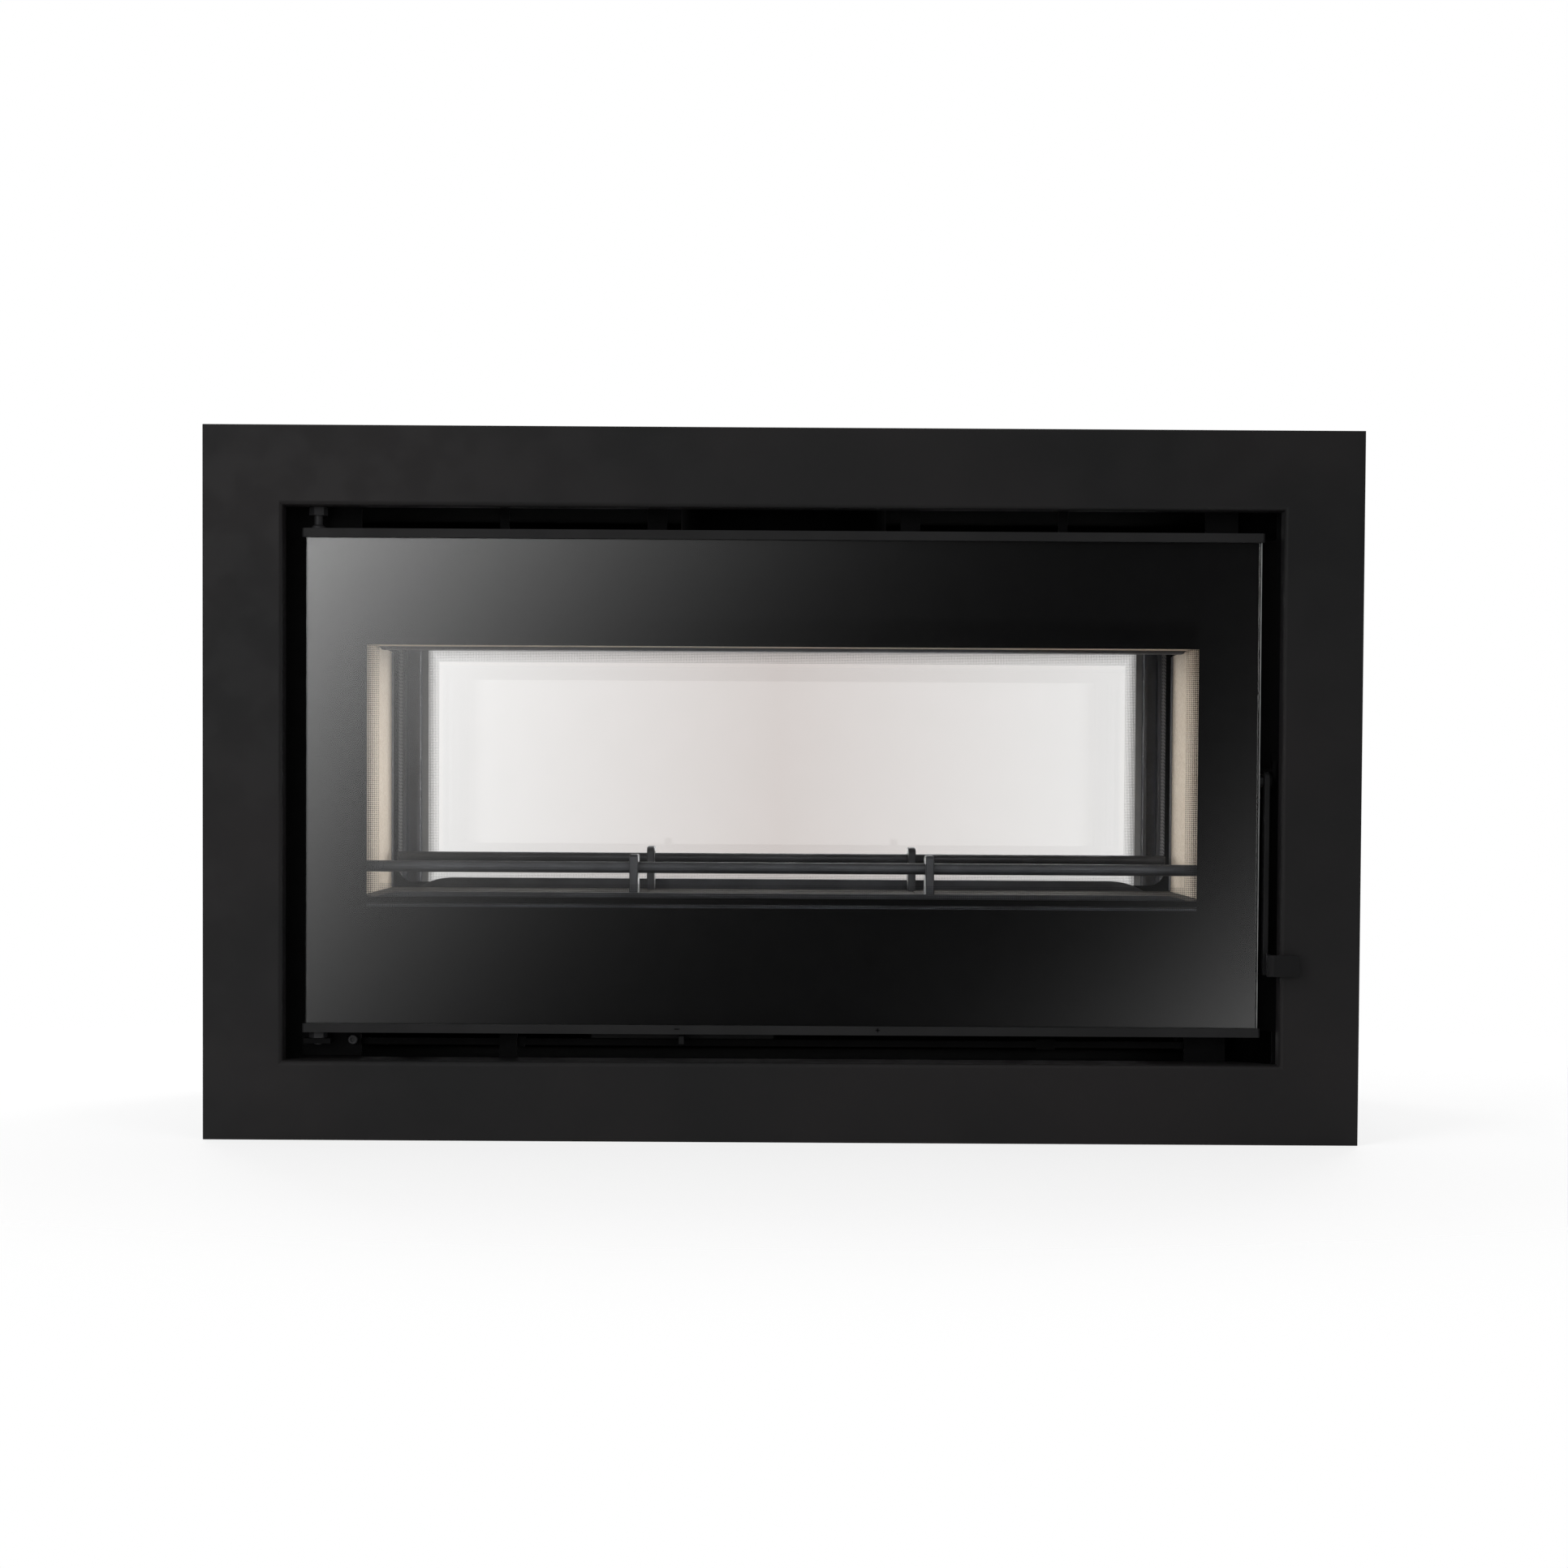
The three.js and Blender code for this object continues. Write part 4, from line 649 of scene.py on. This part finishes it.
def make_border_print(scene):
    """Black enamel that thins out into dots round the window."""
    pane = scene.insert_glass
    material, tree, shader, place = new_material("border_print")
    screen = use_group(
        tree,
        "dot_screen",
        make_dot_screen,
        Position=place.outputs["Object"],
        Half_width=pane.clear_half,
        Bottom=pane.clear_bottom,
        Top=pane.clear_top,
        Side_fade=pane.side_fade,
        End_fade=pane.end_fade,
        First_dots=pane.first_dots,
        Last_dots=pane.last_dots,
        Pitch=pane.dot_pitch,
    )
    tone = noise(tree, place.outputs["Object"], 60.0)
    black = blend_colour(tree, tone, pane.border_black, shaded(pane.border_black, 1.5))
    grey = blend_colour(tree, tone, shaded(pane.border_back, 0.85), shaded(pane.border_back, 1.15))
    facing, where = split_up(tree, place.outputs["Normal"]), split_up(tree, place.outputs["Object"])
    inward = calc(tree, "LESS_THAN", calc(tree, "MULTIPLY", facing["Y"], where["Y"]), 0.0)
    feed(tree, blend_colour(tree, inward, black, grey), shader.inputs["Base Color"])
    feed(tree, screen.outputs["Print"], shader.inputs["Alpha"])
    plain(shader, Roughness=0.5, Specular_IOR_Level=0.0)
    return material


MAKERS = {
    "frame_paint": make_frame_paint,
    "rail_paint": make_rail_paint,
    "body_paint": make_body_paint,
    "lever_black": make_lever_paint,
    "guard_iron": make_guard_iron,
    "casing_steel": make_casing_steel,
    "fire_steel": make_fire_steel,
    "screw_steel": make_screw_steel,
    "strip_steel": make_strip_steel,
    "ground_edge": make_ground_edge,
    "vermiculite": make_vermiculite,
    "sooted_brick": make_sooted_brick,
    "rope_fibre": make_rope_fibre,
    "glass_pane": make_glass,
    "border_print": make_border_print,
}
FINISHES = {}
# The flue collar takes the very dark body paint partly as painted shade, so it stays dark where it is seen through
# the top slots; the air slide rail and air box take it too.
OTHER_FINISH = {"air_slide_rail": "body_paint", "air_box": "body_paint", "flue_collar": "body_paint"}


def finish_for(scene, slot):
    """The material of a slot, made on first use."""
    if slot not in FINISHES:
        FINISHES[slot] = MAKERS[slot](scene)
    return FINISHES[slot]


def node_finish(scene, node):
    """The material of a CAD node."""
    return finish_for(scene, OTHER_FINISH.get(node, SLOT_OF[node]))


def dress(scene, *slots):
    """Gives every CAD node of these slots its finish."""
    dressed = [node for node, slot in SLOT_OF.items() if slot in slots]
    if not dressed:
        raise RuntimeError(f"no node of the frame uses {slots}")
    for node in dressed:
        for place in NODES[node].material_slots:
            place.material = node_finish(scene, node)


# ---------------------------------------------------------------- mesh helpers


def round_edges(shape, edges, radius, segments=2, clamp=True):
    """Rounds these edges; clamp keeps neighbouring bevels from crossing."""
    bmesh.ops.bevel(
        shape,
        geom=edges,
        offset=radius,
        offset_type="OFFSET",
        segments=segments,
        profile=0.5,
        affect="EDGES",
        clamp_overlap=clamp,
        material=-1,
    )


def block(shape, low, high, rounding=0.0):
    """Adds a block between two corners, with rounded edges."""
    low, high = Vector(low), Vector(high)
    middle, size = (low + high) / 2.0, high - low
    matrix = Matrix.Translation(middle) @ Matrix.Diagonal((*size, 1.0))
    made = bmesh.ops.create_cube(shape, size=1.0, matrix=matrix)
    if rounding > 0.0:
        edges = list({edge for vert in made["verts"] for edge in vert.link_edges})
        round_edges(shape, edges, rounding, clamp=False)


def eased_copy(scene, node, radius, segments=2):
    """A copy of a CAD node with its doubles merged and its sharp edges rounded, which stands for it."""
    shape = bmesh.new()
    shape.from_mesh(NODES[node].data)
    bmesh.ops.remove_doubles(shape, verts=shape.verts, dist=1e-6)
    bmesh.ops.dissolve_limit(
        shape, angle_limit=math.radians(1.0), verts=shape.verts, edges=shape.edges, use_dissolve_boundaries=False
    )
    sharp = [edge for edge in shape.edges if edge.is_manifold and edge.calc_face_angle(0.0) > math.radians(32.0)]
    round_edges(shape, sharp, radius, segments)
    piece = finish_piece(f"{node}_eased", shape, node_finish(scene, node), NODES[node]["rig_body"])
    flat = piece.modifiers.new("flat_faces", "WEIGHTED_NORMAL")
    flat.mode = "FACE_AREA"
    flat.weight = 100
    flat.keep_sharp = True
    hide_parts(node)


def ring_sheet(shape, outer, inner, level, thickness):
    """Adds an upright flat ring between two rectangles, as thick as given towards +Y or -Y."""
    (left, bottom, right, top), (in_left, in_bottom, in_right, in_top) = outer, inner
    middle = Vector(((left + right) / 2.0, level, (bottom + top) / 2.0))
    place = Matrix.Translation(middle) @ Matrix.Rotation(math.radians(90.0), 4, "X")
    place = place @ Matrix.Diagonal(((right - left) / 2.0, (top - bottom) / 2.0, 1.0, 1.0))
    bmesh.ops.create_grid(shape, x_segments=1, y_segments=1, size=1.0, matrix=place)
    for position, normal in (
        ((in_left, 0.0, 0.0), (1.0, 0.0, 0.0)),
        ((in_right, 0.0, 0.0), (1.0, 0.0, 0.0)),
        ((0.0, 0.0, in_bottom), (0.0, 0.0, 1.0)),
        ((0.0, 0.0, in_top), (0.0, 0.0, 1.0)),
    ):
        geometry = list(shape.verts) + list(shape.edges) + list(shape.faces)
        bmesh.ops.bisect_plane(shape, geom=geometry, plane_co=position, plane_no=normal, dist=1e-7)
    window = [
        face
        for face in shape.faces
        if in_left < face.calc_center_median().x < in_right and in_bottom < face.calc_center_median().z < in_top
    ]
    bmesh.ops.delete(shape, geom=window, context="FACES")
    grown = bmesh.ops.extrude_face_region(shape, geom=list(shape.faces))
    moved = [item for item in grown["geom"] if isinstance(item, bmesh.types.BMVert)]
    bmesh.ops.translate(shape, verts=moved, vec=(0.0, thickness, 0.0))


def add_screw(shape, trim, place, turn):
    """Adds a flat round head with a round drive recess, standing up from a place on a sheet."""
    radius, height = trim.screw_head / 2.0, trim.screw_height
    matrix = Matrix.Translation(place) @ turn @ Matrix.Translation((0.0, 0.0, height / 2.0))
    head = bmesh.ops.create_cone(
        shape, cap_ends=True, segments=20, radius1=radius, radius2=radius * 0.8, depth=height, matrix=matrix
    )
    axis = (turn @ Vector((0.0, 0.0, 1.0))).normalized()
    rim = [
        edge
        for edge in {edge for vert in head["verts"] for edge in vert.link_edges}
        if (edge.verts[0].co - edge.verts[1].co).normalized().cross(axis).length > 0.99
    ]
    round_edges(shape, rim, height * 0.25)
    tip = Vector(place) + axis * height
    crown = max(
        (face for face in shape.faces if face.normal.dot(axis) > 0.99),
        key=lambda face: -(face.calc_center_median() - tip).length,
    )
    bmesh.ops.inset_region(shape, faces=[crown], thickness=radius * 0.42, use_even_offset=True)
    bmesh.ops.translate(shape, verts=list(crown.verts), vec=axis * -height * 0.35)


def finish_piece(name, shape, material, body, smooth=True):
    """Turns a bmesh into a piece that rides on a body."""
    bmesh.ops.recalc_face_normals(shape, faces=shape.faces)
    mesh = bpy.data.meshes.new(name)
    shape.to_mesh(mesh)
    shape.free()
    mesh.materials.append(material)
    piece = bpy.data.objects.new(name, mesh)
    bpy.context.scene.collection.objects.link(piece)
    if smooth:
        mesh.shade_smooth()
        mesh.set_sharp_from_angle(angle=math.radians(35.0))
    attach(piece, body)
    return piece


# ---------------------------------------------------------------- operators


class INSERT_OT_painted_steel(bpy.types.Operator):
    """Paints the picture frames, rails, face plates and levers"""

    bl_idname = "insert.painted_steel"
    bl_label = "Painted steel"

    def execute(self, context):
        dress(context.scene, "frame_paint", "rail_paint", "body_paint", "lever_black")
        return {"FINISHED"}


class INSERT_OT_bare_steel(bpy.types.Operator):
    """Finishes the casing, door frames, log guards and screws"""

    bl_idname = "insert.bare_steel"
    bl_label = "Bare steel"

    def execute(self, context):
        dress(context.scene, "casing_steel", "fire_steel", "guard_iron", "screw_steel")
        return {"FINISHED"}


class INSERT_OT_lining(bpy.types.Operator):
    """Finishes the vermiculite boards, hearth bricks and rope seals"""

    bl_idname = "insert.lining"
    bl_label = "Lining and seals"

    def execute(self, context):
        dress(context.scene, "vermiculite", "sooted_brick", "rope_fibre")
        return {"FINISHED"}


class INSERT_OT_eased_edges(bpy.types.Operator):
    """Rounds the edges of the frames, rails, plates, guards and bricks"""

    bl_idname = "insert.eased_edges"
    bl_label = "Eased edges"

    def execute(self, context):
        radius = context.scene.insert_trim.edge_radius
        for side, _ in SIDES:
            eased_copy(context.scene, f"{side}_frame", radius * 1.5, 3)
            for part in ("door_top_rail", "door_bottom_rail", "guard_plate", "face_plate", "door_inner_frame"):
                eased_copy(context.scene, f"{side}_{part}", radius)
            eased_copy(context.scene, f"{side}_handle_lever", radius * 0.5)
        for node in ("liner_left", "liner_right", "hearth_brick_1", "hearth_brick_2", "hearth_brick_3"):
            eased_copy(context.scene, node, radius)
        for node in ("baffle_edge_front", "baffle_edge_rear", "flue_collar", "casing", "air_box"):
            eased_copy(context.scene, node, radius * 0.5)
        return {"FINISHED"}


class INSERT_OT_casing_screws(bpy.types.Operator):
    """Adds the flat-headed screws along the edges of the casing"""

    bl_idname = "insert.casing_screws"
    bl_label = "Casing screws"

    def execute(self, context):
        trim = context.scene.insert_trim
        low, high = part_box("casing")
        inset = trim.screw_inset
        shape = bmesh.new()
        rows = (low.y + inset, high.y - inset)
        levels = [low.z + inset + step * (high.z - low.z - 2.0 * inset) / 4.0 for step in range(5)]
        for face, turn in ((low.x, -90.0), (high.x, 90.0)):
            for y in rows:
                for z in levels:
                    add_screw(shape, trim, (face, y, z), Matrix.Rotation(math.radians(turn), 4, "Y"))
        across = [low.x + inset + step * (high.x - low.x - 2.0 * inset) / 6.0 for step in range(7)]
        for y in rows:
            for x in across:
                add_screw(shape, trim, (x, y, high.z), Matrix.Identity(4))
        finish_piece("casing_screws", shape, finish_for(context.scene, "screw_steel"), "stove")
        return {"FINISHED"}


class INSERT_OT_panes(bpy.types.Operator):
    """Finishes the two glass panes"""

    bl_idname = "insert.panes"
    bl_label = "Glass panes"

    def execute(self, context):
        dress(context.scene, "glass_pane")
        return {"FINISHED"}


class INSERT_OT_border_prints(bpy.types.Operator):
    """Prints the black border with its dot screen on the inner face of each pane"""

    bl_idname = "insert.border_prints"
    bl_label = "Border prints"

    def execute(self, context):
        pane = context.scene.insert_glass
        gap = 0.08 * MM
        edge = 0.2 * MM
        material = finish_for(context.scene, "border_print")
        for side, sign in SIDES:
            low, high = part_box(f"{side}_door_glass")
            inner = high.y if sign < 0.0 else low.y
            half = pane.clear_half - edge
            window = (-half, pane.clear_bottom + edge, half, pane.clear_top - edge)
            shape = bmesh.new()
            ring_sheet(
                shape, (low.x, low.z, high.x, high.z), window, inner - sign * gap, -sign * pane.print_thickness
            )
            finish_piece(f"{side}_border_print", shape, material, f"{side}_door", smooth=False)
        return {"FINISHED"}


class INSERT_OT_ground_edges(bpy.types.Operator):
    """Frosts the free edge of each pane, on the side of the handle"""

    bl_idname = "insert.ground_edges"
    bl_label = "Ground edges"

    def execute(self, context):
        wide = context.scene.insert_glass.edge_width
        material = finish_for(context.scene, "ground_edge")
        for side, sign in SIDES:
            low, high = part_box(f"{side}_door_glass")
            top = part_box(f"{side}_door_top_rail")[0].z
            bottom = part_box(f"{side}_door_bottom_rail")[1].z
            free = high.x if sign < 0.0 else low.x
            face = low.y if sign < 0.0 else high.y
            across = sorted((free, free + sign * wide))
            deep = sorted((face, face + sign * 0.08 * MM))
            shape = bmesh.new()
            block(shape, (across[0], deep[0], bottom), (across[1], deep[1], top), 0.03 * MM)
            finish_piece(f"{side}_ground_edge", shape, material, f"{side}_door")
        return {"FINISHED"}


class INSERT_OT_liner_strips(bpy.types.Operator):
    """Adds the steel strips that hold the ends of the side liners"""

    bl_idname = "insert.liner_strips"
    bl_label = "Liner strips"

    def execute(self, context):
        trim = context.scene.insert_trim
        gap, rounding = 0.1 * MM, 0.3 * MM
        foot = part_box("hearth_brick_1")[1].z + 0.5 * MM
        shape = bmesh.new()
        for node, sign in (("liner_left", 1.0), ("liner_right", -1.0)):
            low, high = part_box(node)
            face = high.x if sign > 0.0 else low.x
            near, far = sorted((face + sign * gap, face + sign * (gap + trim.strip_thickness)))
            head = high.z - 1.0 * MM
            for end in (low.y, high.y - trim.strip_width):
                block(shape, (near, end, foot), (far, end + trim.strip_width, head), rounding)
        finish_piece("liner_strips", shape, finish_for(context.scene, "strip_steel"), "stove")
        return {"FINISHED"}


class INSERT_OT_air_marks(bpy.types.Operator):
    """Adds the minus and plus marks for the air slide on the lower rail of each door"""

    bl_idname = "insert.air_marks"
    bl_label = "Air marks"

    def execute(self, context):
        trim = context.scene.insert_trim
        thin, proud = trim.mark_width / 2.0, 0.12 * MM
        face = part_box("front_door_bottom_rail")[0].y
        shape = bmesh.new()
        for place, wide, tall in (
            (trim.minus_x, trim.minus_length / 2.0, thin),
            (trim.plus_x, trim.plus_length / 2.0, thin),
            (trim.plus_x, thin, trim.plus_length / 2.0),
        ):
            low = (place - wide, face - proud, trim.mark_level - tall)
            block(shape, low, (place + wide, face + proud, trim.mark_level + tall))
        finish_piece("front_air_marks", shape, finish_for(context.scene, "body_paint"), "front_door")
        return {"FINISHED"}


class INSERT_OT_stage(bpy.types.Operator):
    """Sets the floor, the world, the lamps, the reflected card and the camera"""

    bl_idname = "insert.stage"
    bl_label = "Stage"

    def execute(self, context):
        scene = context.scene
        make_world(scene)
        make_floor(scene)
        make_card(scene)
        make_haze(scene)
        make_lamps(scene)
        make_camera(scene)
        scene.view_settings.view_transform = "Standard"
        return {"FINISHED"}


# ---------------------------------------------------------------- stage


FLOOR_REACH = (1.5, 1.05)  # half width and depth at which the floor has faded out
CARD_VALLEY = (0.816, 0.770)  # a point on the card's darkest line, across and up
CARD_SLOPE = (0.785, -0.62)  # how the distance from that line grows, across and up
CARD_LIMIT = (1.45, 0.8)  # the distances to the left and right beyond which it brightens no more
PANE_GLEAM = 0.077  # the share of light that the two faces of a pane send back
LAMP_AIM = (0.0, 0.0, 0.3)
CAMERA_PLACE = (-0.00326, -2.40318, 0.28797)
CAMERA_TURN = (("Z", -0.0857), ("X", -1.713), ("Y", -0.3343), ("X", 90.0))  # in degrees, in this order
CAMERA_SHIFT = (0.00134, 0.05344)


def make_world(scene):
    """White where it is seen, and even soft light elsewhere."""
    world = bpy.data.worlds.new("studio")
    scene.world = world
    world.use_nodes = True
    tree = world.node_tree
    light = tree.nodes["Background"]
    path = tree.nodes.new("ShaderNodeLightPath")
    seen = calc(tree, "MAXIMUM", path.outputs["Is Camera Ray"], path.outputs["Is Glossy Ray"])
    seen = calc(tree, "MAXIMUM", seen, path.outputs["Is Transmission Ray"])
    feed(tree, ramp(tree, seen, 0.0, 1.0, scene.insert_stage.sky, 1.0), light.inputs["Strength"])
    light.inputs["Color"].default_value = (1.0, 1.0, 1.0, 1.0)


def stage_sheet(name, material, matrix, unseen_by=()):
    """A square of 2 m that the matrix sets in place, hidden from these kinds of ray."""
    shape = bmesh.new()
    bmesh.ops.create_grid(shape, x_segments=1, y_segments=1, size=1.0, matrix=matrix)
    mesh = bpy.data.meshes.new(name)
    shape.to_mesh(mesh)
    shape.free()
    mesh.materials.append(material)
    piece = bpy.data.objects.new(name, mesh)
    bpy.context.scene.collection.objects.link(piece)
    for rays in unseen_by:
        setattr(piece, f"visible_{rays}", False)


def make_floor(scene):
    """A pale floor that fades out round the object and keeps its shadow."""
    settings = scene.insert_stage
    material, tree, shader, place = new_material("studio_floor")
    shader.inputs["Base Color"].default_value = (*settings.floor_colour, 1.0)
    plain(shader, Roughness=0.9, Specular_IOR_Level=0.1)
    path = tree.nodes.new("ShaderNodeLightPath")
    glow = tree.nodes.new("ShaderNodeEmission")
    white = calc(tree, "MULTIPLY", path.outputs["Is Camera Ray"], settings.floor_white)
    whitened = mix_shaders(tree, white, shader.outputs[0], glow.outputs[0])
    where = split_up(tree, place.outputs["Object"])
    squares = [calc(tree, "POWER", calc(tree, "DIVIDE", way, far), 2.0) for way, far in zip(where, FLOOR_REACH)]
    reach = calc(tree, "SQRT", calc(tree, "ADD", *squares))
    clear = tree.nodes.new("ShaderNodeBsdfTransparent")
    put_out(tree, mix_shaders(tree, ramp(tree, reach, 0.45, 0.98), whitened, clear.outputs[0]))
    stage_sheet("studio_floor", material, Matrix.Diagonal((1.6, 1.1, 1.0, 1.0)))


def upright(distance, level, half_width, half_height):
    """Where a sheet of this size stands that faces along Y."""
    turn = Matrix.Rotation(math.radians(90.0), 4, "X") @ Matrix.Diagonal((half_width, half_height, 1.0, 1.0))
    return Matrix.Translation((0.0, distance, level)) @ turn


def make_card(scene):
    """A card behind the camera, dark along a slanting line: the glass and the paint reflect it."""
    settings = scene.insert_stage
    material, tree, shader, place = new_material("reflected_card")
    across, _, height = split_up(tree, place.outputs["Object"])
    along = calc(tree, "MULTIPLY", calc(tree, "SUBTRACT", across, CARD_VALLEY[0]), CARD_SLOPE[0])
    rise = calc(tree, "MULTIPLY", calc(tree, "SUBTRACT", height, CARD_VALLEY[1]), CARD_SLOPE[1])
    offset = calc(tree, "ADD", along, rise)
    right = calc(tree, "GREATER_THAN", offset, 0.0)
    growth = calc(tree, "MULTIPLY_ADD", right, settings.card_right - settings.card_left, settings.card_left)
    depth = calc(tree, "MULTIPLY", calc(tree, "SUBTRACT", 0.95, height), 0.95, clamp=True)
    growth = calc(tree, "MULTIPLY", growth, calc(tree, "MULTIPLY_ADD", depth, 0.13, 1.02))
    limit = calc(tree, "MULTIPLY_ADD", right, CARD_LIMIT[1] - CARD_LIMIT[0], CARD_LIMIT[0])
    far = calc(tree, "MINIMUM", calc(tree, "ABSOLUTE", offset), limit)
    root = calc(tree, "MULTIPLY_ADD", calc(tree, "POWER", far, 2.0), growth, settings.card_floor)
    power = calc(tree, "DIVIDE", calc(tree, "POWER", root, 2.0), PANE_GLEAM)
    # Only the casing and what is seen aslant reflect the card's edges, so these stay dim.
    side_room = calc(tree, "SUBTRACT", 2.4, calc(tree, "ABSOLUTE", across))
    top_room = calc(tree, "MULTIPLY", calc(tree, "SUBTRACT", 2.2, height), 1.3)
    middle = calc(tree, "MULTIPLY", calc(tree, "MINIMUM", side_room, top_room), 1.1, clamp=True)
    power = calc(tree, "MULTIPLY", power, calc(tree, "MULTIPLY_ADD", middle, 0.86, 0.14))
    glow = tree.nodes.new("ShaderNodeEmission")
    feed(tree, power, glow.inputs["Strength"])
    path = tree.nodes.new("ShaderNodeLightPath")
    clear = tree.nodes.new("ShaderNodeBsdfTransparent")
    through = calc(tree, "GREATER_THAN", path.outputs["Transmission Depth"], 3.0)
    put_out(tree, mix_shaders(tree, through, glow.outputs[0], clear.outputs[0]))
    tree.nodes.remove(shader)
    matrix = upright(-settings.card_distance, 0.4, 4.5, 3.4)
    stage_sheet("reflected_card", material, matrix, ("camera", "diffuse", "shadow"))


def make_haze(scene):
    """A pale grey sheet far behind, seen only through the glass, darker towards its middle."""
    settings = scene.insert_stage
    material, tree, shader, place = new_material("window_haze")
    beside = calc(tree, "ABSOLUTE", split_up(tree, place.outputs["Object"])["X"])
    across = calc(tree, "DIVIDE", beside, settings.haze_half, clamp=True)
    glow = tree.nodes.new("ShaderNodeEmission")
    feed(tree, blend_colour(tree, across, settings.haze_colour, (1.0, 1.0, 1.0)), glow.inputs["Color"])
    put_out(tree, glow.outputs[0])
    tree.nodes.remove(shader)
    matrix = upright(settings.card_distance, 0.6, settings.haze_half, 0.9)
    stage_sheet("window_haze", material, matrix, ("camera", "diffuse", "glossy", "shadow"))


def make_lamps(scene):
    """Soft area lamps above, and low ones that reach into the firebox from both sides."""
    settings = scene.insert_stage
    for name, power, place, size in (
        ("key_lamp", settings.key_power, (-1.9, -2.1, 2.3), 1.6),
        ("back_lamp", settings.back_power, (0.6, 2.6, 1.9), 1.8),
        ("low_lamp_left", settings.low_power, (-1.6, -2.3, 0.75), 0.9),
        ("low_lamp_right", settings.low_power, (1.6, -2.3, 0.75), 0.9),
        ("window_lamp_left", settings.window_power, (-1.5, 2.8, 0.7), 1.2),
        ("window_lamp_right", settings.window_power, (1.5, 2.8, 0.7), 1.2),
    ):
        light = bpy.data.lights.new(name, "AREA")
        light.energy = power
        light.size = size
        lamp = bpy.data.objects.new(name, light)
        lamp.location = place
        aim = Vector(LAMP_AIM) - Vector(place)
        lamp.rotation_euler = aim.to_track_quat("-Z", "Y").to_euler()
        lamp.visible_glossy = False
        scene.collection.objects.link(lamp)


def make_camera(scene):
    """The camera, level with the window and turned a very little down."""
    data = bpy.data.cameras.new("camera")
    data.lens = scene.insert_stage.lens
    data.sensor_fit = "HORIZONTAL"
    data.sensor_width = 36.0
    data.shift_x, data.shift_y = CAMERA_SHIFT
    data.dof.use_dof = False
    camera = bpy.data.objects.new("camera", data)
    matrix = Matrix.Translation(CAMERA_PLACE)
    for axis, degrees in CAMERA_TURN:
        matrix = matrix @ Matrix.Rotation(math.radians(degrees), 4, axis)
    camera.matrix_world = matrix
    scene.collection.objects.link(camera)
    scene.camera = camera


# ---------------------------------------------------------------- panel and registering


STEPS = (
    INSERT_OT_painted_steel,
    INSERT_OT_bare_steel,
    INSERT_OT_lining,
    INSERT_OT_eased_edges,
    INSERT_OT_casing_screws,
    INSERT_OT_panes,
    INSERT_OT_border_prints,
    INSERT_OT_ground_edges,
    INSERT_OT_liner_strips,
    INSERT_OT_air_marks,
    INSERT_OT_stage,
)


class INSERT_PT_panel(bpy.types.Panel):
    """Lists the settings and the steps in order"""

    bl_idname = "INSERT_PT_panel"
    bl_label = "Fireplace insert"
    bl_space_type = "VIEW_3D"
    bl_region_type = "UI"
    bl_category = "Insert"

    def draw(self, context):
        layout = self.layout
        for key, settings in SETTINGS:
            group = getattr(context.scene, key)
            box = layout.box()
            for name in settings.__annotations__:
                box.prop(group, name)
        for step in STEPS:
            layout.operator(step.bl_idname)


CLASSES = tuple(settings for _, settings in SETTINGS) + STEPS + (INSERT_PT_panel,)


def register():
    """Registers the classes and hangs the settings on the scene."""
    for item in CLASSES:
        bpy.utils.register_class(item)
    for key, settings in SETTINGS:
        setattr(bpy.types.Scene, key, PointerProperty(type=settings))


def unregister():
    """Undoes register."""
    for key, _ in SETTINGS:
        delattr(bpy.types.Scene, key)
    for item in reversed(CLASSES):
        bpy.utils.unregister_class(item)


def main():
    """Registers everything and runs each step in order."""
    register()
    bpy.ops.insert.painted_steel()
    bpy.ops.insert.bare_steel()
    bpy.ops.insert.lining()
    bpy.ops.insert.eased_edges()
    bpy.ops.insert.casing_screws()
    bpy.ops.insert.panes()
    bpy.ops.insert.border_prints()
    bpy.ops.insert.ground_edges()
    bpy.ops.insert.liner_strips()
    bpy.ops.insert.air_marks()
    bpy.ops.insert.stage()


if __name__ == "__main__":
    main()
